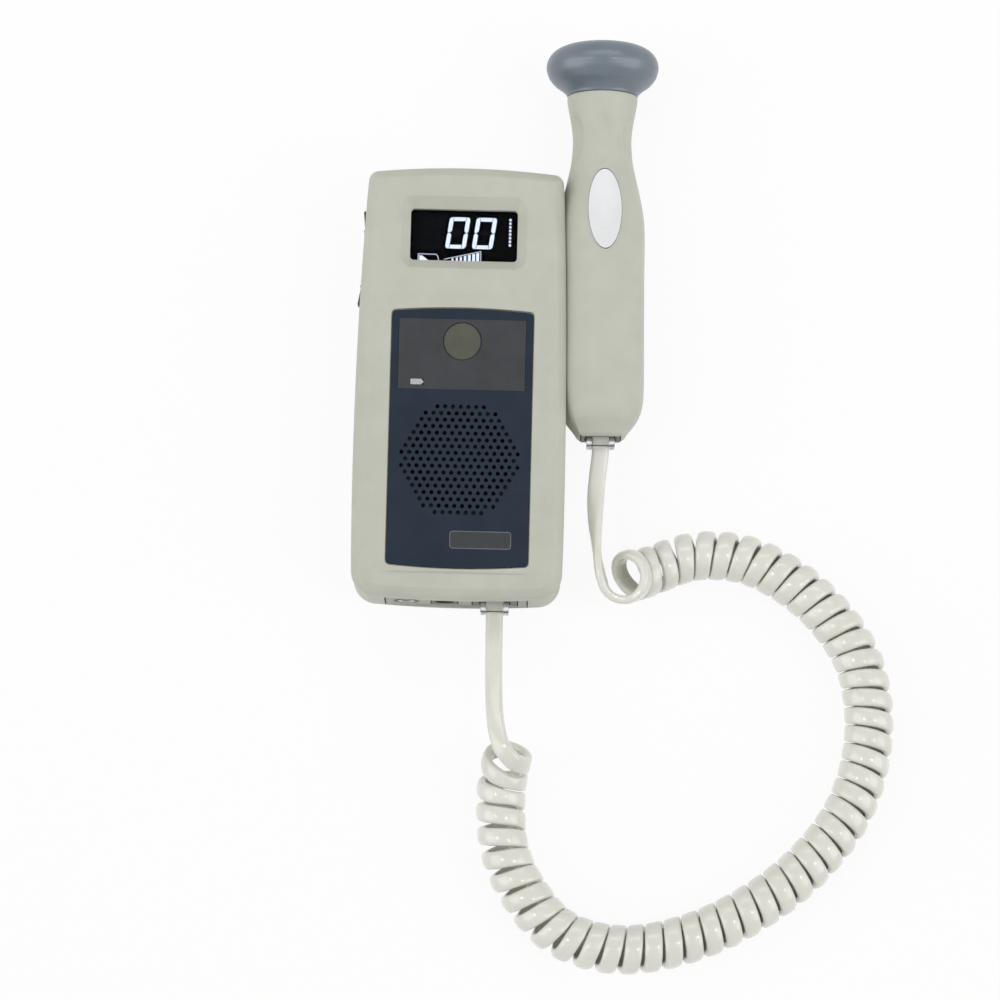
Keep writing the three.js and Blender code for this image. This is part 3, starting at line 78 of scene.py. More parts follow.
# Display, dish and panel: a width, a height and a corner radius, and then Y where the shape has its own
SURROUND, DISH = (43.0, 25.2, 4.5, 51.8), (58, 96.5, 5.2, -18.25)
OPENING, PANEL, PANEL_ARCH = (36.7, 18, 1.4), (48.2, 89.8, 1.9), 1
DISPLAY_X, DISPLAY_Y, OPENING_Y = -0.4, 52.35, 51.3
OPENING_AT = (DISPLAY_X, OPENING_Y)
SURROUND_FLOOR, WELL_FOOT, WINDOW_BACK = 29.4, 27.4, 25.6
DISH_FLOOR, DISH_INSET = 31, 4.2
PANEL_BACK, PANEL_FACE, POCKET_FLOOR, FILM_BACK = 29.9, 30.8, 30.4, 30.5
# The key label's width, height and Y, and its pocket's width and height
LABEL, LABEL_POCKET = (43.4, 24.7, 9.45), (43.6, 24.4)
# The model plate's width, height, corner radius, X and Y, and the charge light's X, Y, width and height
PLATE, LIGHT = (21.1, 6.2, 1.2, 7.8, -54.6), (-15.2, -0.3, 4.4, 2)
KEY_Y, KEY_RADIUS, KEY_HOLE = 14.05, 6.3, 6.6
GRILLE_Y, GRILLE_PITCH, GRILLE_RADIUS, HOLE_RADIUS, SOUND_HOLE = -27, 2.64, 20.3, 0.7, 21

# Bottom end, battery bay and rocker
END_HALF, END_FOOT, END_TOP, END_OUTER, END_INNER = 24.2, 4.8, 24.2, -73.6, -71.4
FLANGE_REACH, FLANGE_DEPTH = 1.5, 1.4
SOCKET_Z, PROBE_SOCKET_X, CHARGE_X, HEADPHONE_X = 14, 13.2, -4, -17
# How high the plugs sit in their sockets, how far they reach out, and how far out the cord leaves them
PLUG_LIFT, UNIT_PLUG_REACH, PROBE_PLUG_REACH, UNIT_EXIT, PROBE_EXIT = 1.2, 4.0, 3.3, 4.3, 3.5
DOOR_HALF, DOOR_TOP, DOOR_SINK, DOOR_INNER, TONGUE = 22.95, 4.7, 0.3, 2.1, 1.5
BAY_HALF, BAY_FOOT, BAY_TOP = 22.35, -51.7, 3.2
SCREWS = ((26.5, 65), (-26.5, 65), (-28.65, -65), (28.65, -65))
ROCKER_Y, ROCKER_HALF, ROCKER_MIDDLE, ROCKER_DEPTH, PIVOT_DEPTH = 43.2, 16.5, 23.7, 3.2, 3.5

# Probe: places along its axis, and radii
HANDLE_FOOT, TAPER, WAIST, HANDLE_TOP = -16.9, 56, 87, 102.7
HEAD_SEAT, HEAD_RIM, HEAD_FACE = 103, 113.2, 121.2
FOOT_RADIUS, BARREL_RADIUS, WAIST_RADIUS, NECK_RADIUS, HEAD_RADIUS = 7.8, 14.8, 10.1, 12.1, 19.4
HANDLE_WALL, FLUTE_HALF, FLUTE_DEPTH, SQUARING = 1.8, 9.4, 0.8, 0.56


# Meshes, made in millimetres and moved into the frame when they are finished
def in_scene(name, data):
    """A new object in the scene for a mesh, a lamp or a camera."""
    piece = bpy.data.objects.new(name, data)
    bpy.context.scene.collection.objects.link(piece)
    return piece


def body_from(name, vertices, faces):
    """A closed mesh with its doubles merged and its faces outward."""
    mesh = bpy.data.meshes.new(name)
    mesh.from_pydata([tuple(v) for v in vertices], [], faces)
    work = bmesh.new()
    work.from_mesh(mesh)
    bmesh.ops.remove_doubles(work, verts=work.verts, dist=1e-4)
    bmesh.ops.recalc_face_normals(work, faces=work.faces)
    work.to_mesh(mesh)
    work.free()
    return in_scene(name, mesh)


def skin(name, rings, closed=False):
    """A skin over rings of equal counts, with flat ends, or closed into a loop of rings."""
    count = len(rings[0])
    faces = []
    for r in range(len(rings) if closed else len(rings) - 1):
        for i in range(count):
            low, high = r * count, (r + 1) % len(rings) * count
            following = (i + 1) % count
            faces.append((low + i, low + following, high + following, high + i))
    if not closed:
        last = (len(rings) - 1) * count
        faces += [tuple(range(count))[::-1], tuple(range(last, last + count))]
    return body_from(name, [p for ring in rings for p in ring], faces)


def turned(name, profile, sides=96, centre=(0, 0), closed=False):
    """A body turned about an upright axis, from its radii and heights."""
    rings = [[(centre[0] + r * math.cos(2 * math.pi * i / sides),
               centre[1] + r * math.sin(2 * math.pi * i / sides), z) for i in range(sides)]
             for r, z in profile]
    return skin(name, rings, closed)


def quarter(x, y, radius, start, steps):
    """A quarter of a circle about a point, from an angle in degrees."""
    turns = [math.radians(start + 90 * i / steps) for i in range(steps + 1)]
    return [(x + radius * math.cos(t), y + radius * math.sin(t)) for t in turns]


def rounded(width, height, radius, centre=(0, 0), steps=10):
    """The outline of a rounded rectangle, which can be drawn larger or smaller."""
    def outline(grow):
        r = max(radius + grow, 0.05)
        a, b = width / 2 + grow - r, height / 2 + grow - r
        corners = ((a, -b, -90), (a, b, 0), (-a, b, 90), (-a, -b, 180))
        return [p for x, y, start in corners for p in quarter(centre[0] + x, centre[1] + y, r, start, steps)]
    return outline


def tower(name, outline, levels):
    """An outline drawn at several levels, each grown by its own amount."""
    return skin(name, [[(x, y, z) for x, y in outline(grow)] for grow, z in levels])


def softened(low, high, radius, steps=3, foot=True, head=True):
    """Levels of a tower whose upper and lower edges are rounded."""
    turns = [math.pi / 2 * i / steps for i in range(steps + 1)]
    lower = [(radius * (math.sin(t) - 1), low + radius * (1 - math.cos(t))) for t in turns]
    upper = [(radius * (math.cos(t) - 1), high - radius * (1 - math.sin(t))) for t in turns]
    return (lower if foot else [(0, low)]) + (upper if head else [(0, high)])


def box(name, x0, x1, y0, y1, z0, z1, radius=0.0, steps=2):
    """A block; with a radius, its upright corners and its edges are rounded."""
    outline = rounded(x1 - x0, y1 - y0, radius, ((x0 + x1) / 2, (y0 + y1) / 2), steps if radius else 1)
    levels = softened(z0, z1, radius, steps) if radius else [(0, z0), (0, z1)]
    return tower(name, outline, levels)


def turn(piece, axis, degrees, move=(0, 0, 0)):
    """Turns a piece about one of the axes, then moves it."""
    piece.data.transform(Matrix.Translation(move) @ Matrix.Rotation(math.radians(degrees), 4, axis))
    return piece


def bake(piece):
    """Turns what the modifiers make into the piece's own mesh."""
    evaluated = piece.evaluated_get(bpy.context.evaluated_depsgraph_get())
    mesh = bpy.data.meshes.new_from_object(evaluated)
    piece.modifiers.clear()
    piece.data = mesh
    return piece


def combine(piece, operation, *tools):
    """Joins, cuts or trims a closed body by others, which are used up."""
    for tool in tools:
        modifier = piece.modifiers.new("shape", "BOOLEAN")
        modifier.operation = operation
        modifier.solver = "MANIFOLD"
        modifier.object = tool
    bake(piece)
    for tool in tools:
        bpy.data.objects.remove(tool)
    return piece


def cut(piece, *tools):
    return combine(piece, "DIFFERENCE", *tools)


def weld(piece, *tools):
    return combine(piece, "UNION", *tools)


def settle(piece, body, material=None, replaces=(), docked=False, angle=38, weigh=True):
    """Finishes a piece: its place in the frame, shading, finish, body and the nodes it stands for."""
    piece.data.transform(TO_FRAME @ TO_DOCK if docked else TO_FRAME)
    work = bmesh.new()
    work.from_mesh(piece.data)
    for face in work.faces:
        face.smooth = True
    for edge in work.edges:
        edge.smooth = len(edge.link_faces) != 2 or edge.calc_face_angle(0) < math.radians(angle)
    work.to_mesh(piece.data)
    work.free()
    if weigh:
        modifier = piece.modifiers.new("shading", "WEIGHTED_NORMAL")
        modifier.keep_sharp = True
        bake(piece)
    if material:
        painted(piece, material)
    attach(piece, body)
    if replaces:
        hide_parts(*replaces)
    return piece


def merged(name, *pieces):
    """One mesh from several, each with its own finish."""
    work = bmesh.new()
    materials = []
    for piece in pieces:
        own = list(piece.data.materials)
        start = len(work.faces)
        work.from_mesh(piece.data)
        work.faces.ensure_lookup_table()
        for face in work.faces[start:]:
            material = own[face.material_index] if own else None
            if material not in materials:
                materials.append(material)
            face.material_index = materials.index(material)
    mesh = bpy.data.meshes.new(name)
    work.to_mesh(mesh)
    work.free()
    for material in materials:
        mesh.materials.append(material)
    for piece in pieces:
        bpy.data.objects.remove(piece)
    return in_scene(name, mesh)


def painted(piece, material):
    """Gives the whole of a piece one finish."""
    piece.data.materials.clear()
    piece.data.materials.append(material)
    for face in piece.data.polygons:
        face.material_index = 0
    return piece


# Nodes and finishes
def linear(code):
    """An sRGB hex colour as the linear values that a shader takes."""
    parts = [int(code[i:i + 2], 16) / 255 for i in (1, 3, 5)]
    return [c / 12.92 if c <= 0.04045 else ((c + 0.055) / 1.055) ** 2.4 for c in parts] + [1]


def add(tree, kind, inputs=None, **settings):
    """Adds a node with its settings; each input takes a value or another node's output."""
    node = tree.nodes.new(kind)
    for name, value in settings.items():
        setattr(node, name, value)
    for key, value in (inputs or {}).items():
        if isinstance(value, bpy.types.NodeSocket):
            tree.links.new(value, node.inputs[key])
        else:
            node.inputs[key].default_value = value
    return node


def fresh_tree(owner):
    """The empty node tree of a world or a material."""
    owner.use_nodes = True
    owner.node_tree.nodes.clear()
    return owner.node_tree


def surface(name, **sockets):
    """A new material with one shader, and the place on the object in metres."""
    material = bpy.data.materials.new(name)
    tree = fresh_tree(material)
    inputs = {key.replace("_", " "): value for key, value in sockets.items()}
    shader = add(tree, "ShaderNodeBsdfPrincipled", inputs)
    add(tree, "ShaderNodeOutputMaterial", {"Surface": shader.outputs["BSDF"]})
    place = add(tree, "ShaderNodeTexCoord").outputs["Object"]
    return material, tree, shader, place


def two_tone(tree, shader, share, low, high, dark, light, socket="Base Color"):
    """Blends a colour between two tones as a pattern's value rises from low to high."""
    ramp = add(tree, "ShaderNodeValToRGB", {"Fac": share})
    for element, position, tone in zip(ramp.color_ramp.elements, (low, high), (dark, light)):
        element.position = position
        element.color = linear(tone)
    tree.links.new(ramp.outputs["Color"], shader.inputs[socket])


def uneven(tree, shader, share, low, high):
    """Lets the roughness follow a pattern between two values."""
    spread = add(tree, "ShaderNodeMapRange", {"Value": share, "To Min": low, "To Max": high})
    tree.links.new(spread.outputs["Result"], shader.inputs["Roughness"])


def relief(tree, shader, height, depth, strength=1.0, under=None):
    """Bump from a pattern whose full height is a depth in millimetres, laid over another bump."""
    inputs = {"Height": height, "Distance": depth / 1000, "Strength": strength}
    if under:
        inputs["Normal"] = under
    bump = add(tree, "ShaderNodeBump", inputs)
    tree.links.new(bump.outputs["Normal"], shader.inputs["Normal"])
    return bump.outputs["Normal"]


# A noise's scale is how many of its spots fit in a metre, so 1000 / 9 gives spots of 9 mm
def moulded_abs(name, dark, light, low, high, grain, depth, shine=0.5):
    """Moulded ABS: spark-eroded grain breaks up the gloss, and the colour drifts a little.

    Its real grain of about 0.1 mm is drawn from 0.2 mm up, so that it shows."""
    material, tree, shader, place = surface(name, IOR=1.54, Specular_IOR_Level=shine)
    drift = add(tree, "ShaderNodeTexNoise", {"Vector": place, "Scale": 1000 / 9, "Detail": 3.0}).outputs[0]
    two_tone(tree, shader, drift, 0.3, 0.7, dark, light)
    pebbles = add(tree, "ShaderNodeTexNoise",
                  {"Vector": place, "Scale": 1000 / grain, "Detail": 2.0, "Roughness": 0.6}).outputs[0]
    uneven(tree, shader, pebbles, low, high)
    waves = add(tree, "ShaderNodeTexNoise", {"Vector": place, "Scale": 1000 / 14, "Detail": 1.0}).outputs[0]
    flow = relief(tree, shader, waves, 0.02)
    relief(tree, shader, pebbles, depth, under=flow)
    return material


# Warm grey shell: a fine matt grain that keeps highlights broad and soft
grey_shell = moulded_abs("moulded_abs_warm_grey", "#b9bbae", "#bfc1b5", 0.42, 0.62, 0.5, 0.02)
# Front panel: navy ABS with a satin skin, whose faint highlights leave it an even dark blue
navy_panel = moulded_abs("satin_abs_navy", "#1e2836", "#232d3b", 0.38, 0.5, 0.35, 0.01, 0.15)
# Probe head: blue-grey ABS, smoother than the shell, with a clear soft sheen
blue_grey = moulded_abs("satin_abs_blue_grey", "#5b6772", "#636f7a", 0.3, 0.38, 0.4, 0.004, 0.8)
# Display glass: black lacquered glass that hardly reflects behind its window
display_black = moulded_abs("lacquered_glass_black", "#020203", "#030304", 0.6, 0.7, 0.5, 0.002, 0.0)
# Sockets and rocker: black ABS, nearly smooth
black_abs = moulded_abs("moulded_abs_black", "#17181a", "#1e1f21", 0.35, 0.5, 0.4, 0.008)
# Socket in the probe's foot: dark grey ABS; the same grey also paints a shadow bar across each plug's tail
dark_grey_and_shadow = moulded_abs("moulded_abs_dark_grey_and_painted_shadow", "#3d3e3d", "#464745", 0.4, 0.55, 0.4, 0.01)
# Power button: soft-touch rubber coat, matt, a little paler where fingers rub it
olive_key = moulded_abs("soft_touch_rubber_olive", "#494b42", "#52544a", 0.5, 0.62, 0.25, 0.008, 0.3)
# Key label and model plate: matt printed polyester film with a fine sand texture
film_grey = moulded_abs("printed_film_warm_grey", "#3c3d40", "#434447", 0.45, 0.6, 0.2, 0.008, 0.15)
film_edge = moulded_abs("printed_film_pale_edge", "#67686a", "#717274", 0.45, 0.6, 0.2, 0.006, 0.3)
# Oval label: gloss-coated white polyester, and the dark line printed round it
film_white = moulded_abs("gloss_film_white", "#e2e3e4", "#e8e9ea", 0.24, 0.32, 0.3, 0.002)
film_line = moulded_abs("gloss_film_dark_line", "#3c3d3a", "#454642", 0.28, 0.4, 0.3, 0.002)


def cord_jacket():
    """Moulded PVC cord: smooth and slightly waxy, with faint lines along it from the die."""
    material, tree, shader, place = surface("moulded_pvc_ivory", IOR=1.53, Coat_Weight=0.8,
                                            Coat_Roughness=0.12)
    drift = add(tree, "ShaderNodeTexNoise", {"Vector": place, "Scale": 1000 / 12, "Detail": 3.0}).outputs[0]
    two_tone(tree, shader, drift, 0.3, 0.7, "#dbdacf", "#e2e1d8")
    lines = add(tree, "ShaderNodeUVMap", uv_map="length").outputs["UV"]
    across = add(tree, "ShaderNodeMapping", {"Vector": lines, "Scale": (0.02, 60, 1)}).outputs["Vector"]
    die = add(tree, "ShaderNodeTexNoise", {"Vector": across, "Scale": 1.0, "Detail": 2.0}).outputs[0]
    uneven(tree, shader, die, 0.26, 0.36)
    relief(tree, shader, die, 0.015)
    return material


def clear_plastic():
    """Clear polycarbonate: sees through, with faint moulding swirls that bend what lies behind."""
    material, tree, shader, place = surface("clear_polycarbonate", Base_Color=linear("#f4f6f6"), IOR=1.58,
                                            Transmission_Weight=0.92, Roughness=0.05)
    swirls = add(tree, "ShaderNodeTexNoise", {"Vector": place, "Scale": 1000 / 3, "Detail": 2.0}).outputs[0]
    relief(tree, shader, swirls, 0.02, 0.6)
    return material


def smoked_acrylic():
    """Smoked acrylic with an anti-glare coat: nearly black until something behind it lights up."""
    material, tree, shader, place = surface("coated_smoked_acrylic", Base_Color=linear("#c9ced2"), IOR=1.12,
                                            Transmission_Weight=1.0)
    haze = add(tree, "ShaderNodeTexNoise", {"Vector": place, "Scale": 1000 / 6, "Detail": 3.0}).outputs[0]
    uneven(tree, shader, haze, 0.02, 0.05)
    return material


def glowing(name, colour, strength, edge):
    """A lit segment: bright in its middle, a little bluer towards its grain."""
    material, tree, shader, place = surface(name, Roughness=0.7, Emission_Strength=strength,
                                            Specular_IOR_Level=0.0, Base_Color=linear("#08090c"))
    grain = add(tree, "ShaderNodeTexNoise", {"Vector": place, "Scale": 1000 / 0.4, "Detail": 2.0}).outputs[0]
    two_tone(tree, shader, grain, 0.2, 0.5, edge, colour, "Emission Color")
    return material


def plated(name, colour, low, high, grain, depth):
    """A plated or drawn metal part: scratches, drawn coarser than real ones, spread its reflections."""
    material, tree, shader, place = surface(name, Base_Color=linear(colour), Metallic=1.0)
    stretched = add(tree, "ShaderNodeMapping", {"Vector": place, "Scale": (1, 8, 1)}).outputs["Vector"]
    marks = add(tree, "ShaderNodeTexNoise",
                {"Vector": stretched, "Scale": 1000 / grain, "Detail": 3.0}).outputs[0]
    uneven(tree, shader, marks, low, high)
    relief(tree, shader, marks, depth)
    return material


pvc_ivory = cord_jacket()
clear_plug = clear_plastic()
smoked_window = smoked_acrylic()
lit_segment = glowing("display_segment_lit", "#eef4ff", 1.75, "#bccfff")
dim_segment = glowing("display_segment_dim", "#0a0d18", 1.0, "#080a12")
# Plug blades: thin gold plate over bronze; screws, rim and pin: zinc-plated steel, faintly brushed
gold_plate = plated("gold_plated_bronze", "#c9a254", 0.2, 0.32, 0.5, 0.002)
zinc_steel = plated("zinc_plated_steel", "#b4b6b8", 0.25, 0.42, 0.8, 0.004)


# Camera at the photograph's angle, and the photograph's frame
CAMERA_AT, LOOKS_AT = Vector((0.00776, -0.3918, 2.032)), Vector((-0.00025, -0.06389, 0.032))
CAMERA_LENS, SENSOR_WIDTH, CAMERA_ROLL = 214.6, 36, math.radians(1.4)
camera_data = bpy.data.cameras.new("camera")
camera_data.sensor_width = SENSOR_WIDTH
camera_data.lens = CAMERA_LENS
camera_data.clip_end = 20
camera = in_scene("camera", camera_data)
toward = (LOOKS_AT - CAMERA_AT).normalized()
right = Vector((math.cos(CAMERA_ROLL), math.sin(CAMERA_ROLL), 0))
facing = Matrix((right, right.cross(toward), -toward)).transposed().to_4x4()
camera.matrix_world = Matrix.Translation(CAMERA_AT) @ facing
bpy.context.scene.camera = camera


# Cord: a smooth line through its route, and the coil wound round it
def smooth_line(points, per_span=40):
    """A centripetal Catmull-Rom line through the points."""
    points = [Vector(p) for p in points]
    padded = [2 * points[0] - points[1]] + points + [2 * points[-1] - points[-2]]
    line = []
    for a, b, c, d in zip(padded, padded[1:], padded[2:], padded[3:]):
        t1 = (b - a).length ** 0.5
        t2 = t1 + (c - b).length ** 0.5
        t3 = t2 + (d - c).length ** 0.5
        for i in range(per_span):
            t = t1 + (t2 - t1) * i / per_span
            p = a.lerp(b, t / t1)
            q = b.lerp(c, (t - t1) / (t2 - t1))
            r = c.lerp(d, (t - t2) / (t3 - t2))
            pq = p.lerp(q, t / t2)
            qr = q.lerp(r, (t - t1) / (t3 - t1))
            line.append(pq.lerp(qr, (t - t1) / (t2 - t1)))
    return line + [points[-1]]


def lengths(line):
    """The length run at each point of a line."""
    runs = [0.0]
    for before, after in zip(line, line[1:]):
        runs.append(runs[-1] + (after - before).length)
    return runs


def along_line(line, runs, share):
    """The point and direction at a share of the line's length."""
    goal = min(max(share, 0), 1) * runs[-1]
    low, high = 0, len(runs) - 1
    while high - low > 1:
        middle = (low + high) // 2
        if runs[middle] <= goal:
            low = middle
        else:
            high = middle
    point = line[low].lerp(line[high], (goal - runs[low]) / (runs[high] - runs[low]))
    before, after = line[max(low - 1, 0)], line[min(high + 1, len(line) - 1)]
    return point, (after - before).normalized()


CORD_WIDTH, CORD_THICKNESS, CURL_RADIUS, CURL_WIDTH, CURL_CLEARANCE = 5.9, 3.0, 6.95, 6.1, 0.45
CURLS, CURL_STEPS, LEAD_STEPS, LEAD_RUN, PLUG_RUN = 49, 24, 40, 2.5, 1.5
FIRST_ANGLE, LAST_ANGLE = math.radians(38), math.radians(-150)
# The curls open up by a share of their pitch towards the unit's end and the probe's, over a share of the coil
UNIT_OPENING, UNIT_SHARE, PROBE_OPENING, PROBE_SHARE = 0.14, 0.25, 0.9, 0.05
# The first curl opens more and leans over, and the last ones swell, in so many steps
FIRST_OPENING, FIRST_SLANT, FIRST_STEPS, LAST_SWELL, LAST_STEPS = 0.6, 2.6, 30, 0.9, 36
# The shares of each lead that run flat before it turns on edge
UNIT_FLAT, PROBE_FLAT = 0.3, 0.1
COIL_ROUTE = (
    (19.4, -124.1, 17.3), (17.9, -130.6, 12.4), (17.1, -136, 10.1), (16.9, -141.5, 9), (17.1, -147.5, 8.7),
    (18.6, -157.5, 8.6), (23.8, -169.5, 8.6), (36.8, -184.6, 8.6), (55, -190.6, 8.6), (76.9, -188, 8.6),
    (100.2, -177.6, 8.6), (121.4, -161, 8.6), (136.4, -139.8, 8.6), (142.1, -113.7, 8.6), (137.5, -88.5, 8.6),
    (121, -67.9, 8.6), (100.5, -56.2, 8.6), (85, -54.6, 8.8), (76.5, -56.4, 9.4), (68.5, -59.8, 10.8),
    (61.1, -62.9, 14.3), (57.3, -64.7, 19.4), (56.4, -65.4, 23.5))
UNIT_ROUTE = (
    (13.4, -95, 16.5), (13.7, -106, 19), (14.2, -113.2, 21.4), (15.2, -119.5, 23.2), (17, -124.8, 24.1))
PROBE_ROUTE = (
    (47.35, -29.5, 21), (46.8, -36.5, 21.3), (46.7, -43.5, 21.7), (47.05, -50.5, 22.2), (47.8, -57.5, 22.5))
LOOP_MIDDLE = Vector((80, -125, 8.6))


def level(vector, along):
    """The part of a vector that stands square to a direction, at length one."""
    return (vector - along * vector.dot(along)).normalized()


def coil_stations():
    """The coil's points, with their directions: its curls open up towards both ends."""
    line = smooth_line(COIL_ROUTE)
    runs = lengths(line)
    steps = CURLS * CURL_STEPS
    openings = []
    for i in range(steps):
        share = (i + 0.5) / steps
        near_unit = max(0, 1 - share / UNIT_SHARE)
        near_probe = max(0, 1 - (1 - share) / PROBE_SHARE)
        first_curl = max(0, 1 - i / FIRST_STEPS)
        openings.append(1 + UNIT_OPENING * near_unit + FIRST_OPENING * first_curl
                        + PROBE_OPENING * near_probe ** 2)
    total, run, places = sum(openings), 0, []
    for i in range(steps + 1):
        angle = FIRST_ANGLE + (CURLS * 2 * math.pi + LAST_ANGLE - FIRST_ANGLE) * i / steps
        point, along = along_line(line, runs, run / total)
        top = level(Vector((0, 0, 1)), along)
        radial = top * math.cos(angle) + top.cross(along) * math.sin(angle)
        swell = LAST_SWELL * math.sin(math.pi * min((steps - i) / LAST_STEPS, 1))
        slant = FIRST_SLANT * math.sin(angle) * max(0, 1 - i / FIRST_STEPS)
        places.append((point + radial * (CURL_RADIUS + swell) + along * slant, radial))
        run += openings[i] if i < steps else 0
    stations = []
    for i, (point, radial) in enumerate(places):
        before, after = places[max(0, i - 1)][0], places[min(steps, i + 1)][0]
        along = (after - before).normalized()
        others = [places[k][0] for k in (i - CURL_STEPS, i + CURL_STEPS) if 0 <= k <= steps]
        width = min(CURL_WIDTH, min((other - point).length for other in others) - CURL_CLEARANCE)
        outer = (point - LOOP_MIDDLE).normalized().dot(radial)
        stations.append((point, along, level(radial, along), width, 0.5 - 0.5 * outer))
    return stations


def lead_stations(start, start_along, route, coil_end, flat):
    """A lead from its plug, through its route, to the coil's end, turning on edge as it goes."""
    end, end_along, end_outward, end_width, end_shape = coil_end
    line = smooth_line([start, start + start_along * PLUG_RUN, *route, end - end_along * LEAD_RUN, end])
    runs = lengths(line)
    upright = level(Vector((0, 0, 1)), end_along)
    turned_by = math.atan2(end_along.dot(upright.cross(end_outward)), upright.dot(end_outward))
    stations = []
    for i in range(LEAD_STEPS + 1):
        share = i / LEAD_STEPS
        point, along = along_line(line, runs, share)
        ease = min(max((share - flat) / (1 - flat), 0), 1)
        ease = ease * ease * (3 - 2 * ease)
        outward = Quaternion(along, turned_by * ease) @ level(Vector((0, 0, 1)), along)
        width = CORD_WIDTH + (end_width - CORD_WIDTH) * ease
        stations.append((point, along, outward, width, end_shape * ease))
    return stations


def backwards(stations):
    """The same stations, run the other way."""
    return [(point, -along, outward, width, share) for point, along, outward, width, share in stations[::-1]]


# Sections in shares of width and thickness: round sides, and the squarer ones the curls have inside the loop
CURL_SECTION = [(0.5, 0), (0.492, 0.25), (0.455, 0.4), (0.36, 0.475), (0, 0.5), (-0.36, 0.475), (-0.455, 0.4),
                (-0.492, 0.25), (-0.5, 0), (-0.5, -0.3), (-0.46, -0.44), (-0.36, -0.5), (0, -0.5),
                (0.36, -0.5), (0.46, -0.44), (0.5, -0.3)]
LEAD_SECTION = [(0.5, -0.04), (0.475, 0.17), (0.4, 0.34), (0.24, 0.46), (0, 0.5), (-0.24, 0.46), (-0.4, 0.34),
                (-0.475, 0.17), (-0.5, -0.04), (-0.48, -0.3), (-0.42, -0.43), (-0.28, -0.5), (0, -0.5),
                (0.28, -0.5), (0.42, -0.43), (0.48, -0.3)]


def make_cord():
    """The jacket as one skin from plug to plug, with its own map, and its middle line in the frame."""
    coil = coil_stations()
    down = Vector((0, -1, 0))
    unit_exit = Vector((PROBE_SOCKET_X, END_OUTER - UNIT_EXIT, SOCKET_Z + PLUG_LIFT))
    probe_exit = TO_DOCK @ Vector((0, HANDLE_FOOT - PROBE_EXIT, PLUG_LIFT))
    unit_lead = lead_stations(unit_exit, down, UNIT_ROUTE, coil[0], UNIT_FLAT)
    probe_down = TO_DOCK.to_3x3() @ down
    probe_lead = lead_stations(probe_exit, probe_down, PROBE_ROUTE, backwards(coil)[0], PROBE_FLAT)
    stations = unit_lead[:-1] + coil + backwards(probe_lead)[1:]
    distance = lengths([station[0] for station in stations])
    rings = []
    for point, along, outward, width, share in stations:
        across = along.cross(outward)
        rings.append([
            point + across * width * (a + (c - a) * share) + outward * CORD_THICKNESS * (b + (d - b) * share)
            for (a, b), (c, d) in zip(LEAD_SECTION, CURL_SECTION)])
    piece = settle(skin("curly_cord_jacket", rings), "monitor", pvc_ivory, weigh=False, angle=60)
    count = len(LEAD_SECTION)
    uv = piece.data.uv_layers.new(name="length")
    for face in piece.data.polygons:
        indices = [piece.data.loops[i].vertex_index % count for i in face.loop_indices]
        seam = max(indices) - min(indices) > count / 2
        for loop in face.loop_indices:
            ring, place = divmod(piece.data.loops[loop].vertex_index, count)
            uv.data[loop].uv = (distance[ring] / 1000, (place + count * (seam and place == 0)) / count)
    return piece, [TO_FRAME @ station[0] for station in stations], distance[-1] / 1000


cord_piece, cord_path, cord_length = make_cord()


# Lights and floor: a soft, plain studio, white all round
def seen_directly(tree):
    """One for rays that the camera sees, straight, mirrored or through clear plastic, and zero for others."""
    rays = add(tree, "ShaderNodeLightPath").outputs
    seen = rays["Is Camera Ray"]
    for kind in ("Is Glossy Ray", "Is Transmission Ray"):
        seen = add(tree, "ShaderNodeMath", {0: seen, 1: rays[kind]}, operation="MAXIMUM").outputs[0]
    return seen


def light(name, kind, energy, lean, place=(0, 0, 0), **settings):
    """A lamp at a place, leaning by degrees about X and Y from straight down."""
    data = bpy.data.lights.new(name, kind)
    data.energy = energy
    for key, value in settings.items():
        setattr(data, key, value)
    lamp = in_scene(name, data)
    lamp.location = place
    lamp.rotation_euler = [math.radians(a) for a in (*lean, 0)]


def white_world():
    """Plain white to the camera, and a soft, dimmer light on the object."""
    world = bpy.data.worlds.new("studio")
    bpy.context.scene.world = world
    tree = fresh_tree(world)
    soft, white = [add(tree, "ShaderNodeBackground", {"Color": (1, 1, 1, 1), "Strength": strength}).outputs[0]
                   for strength in (0.39, 1.0)]
    mixed = add(tree, "ShaderNodeMixShader", {0: seen_directly(tree), 1: soft, 2: white}).outputs[0]
    add(tree, "ShaderNodeOutputWorld", {"Surface": mixed})


def pale_floor():
    """Pale card that fades into the white round it and keeps a little of the shadow."""
    floor = box("floor", -4000, 4000, -4000, 4000, -20, 0)
    floor.data.transform(Matrix.Scale(0.001, 4))
    material = bpy.data.materials.new("pale_card")
    tree = fresh_tree(material)
    share = add(tree, "ShaderNodeMath", {0: seen_directly(tree), 1: 0.9}, operation="MULTIPLY").outputs[0]
    card = add(tree, "ShaderNodeBsdfDiffuse", {"Color": (0.93, 0.93, 0.93, 1)}).outputs[0]
    white = add(tree, "ShaderNodeEmission", {"Color": (1, 1, 1, 1), "Strength": 1.0}).outputs[0]
    mixed = add(tree, "ShaderNodeMixShader", {0: share, 1: card, 2: white}).outputs[0]
    add(tree, "ShaderNodeOutputMaterial", {"Surface": mixed})
    painted(floor, material)


white_world()
pale_floor()
# Broad lamps model the case from both sides, and small ones put a pair of highlights on every curl
light("left_lamp", "SUN", 0.95, (10, -60), angle=math.radians(50))
light("right_lamp", "SUN", 1.0, (10, 60), angle=math.radians(50))
light("left_spot", "SUN", 0.26, (6, -25), angle=math.radians(9))
light("right_spot", "SUN", 0.26, (6, 25), angle=math.radians(9))
# A long strip above the top end draws the soft arc on the probe's head
light("top_strip", "AREA", 1.9, (-36, 0), (0.03, 0.62, 0.78), shape="RECTANGLE", size=1.2, size_y=0.25)


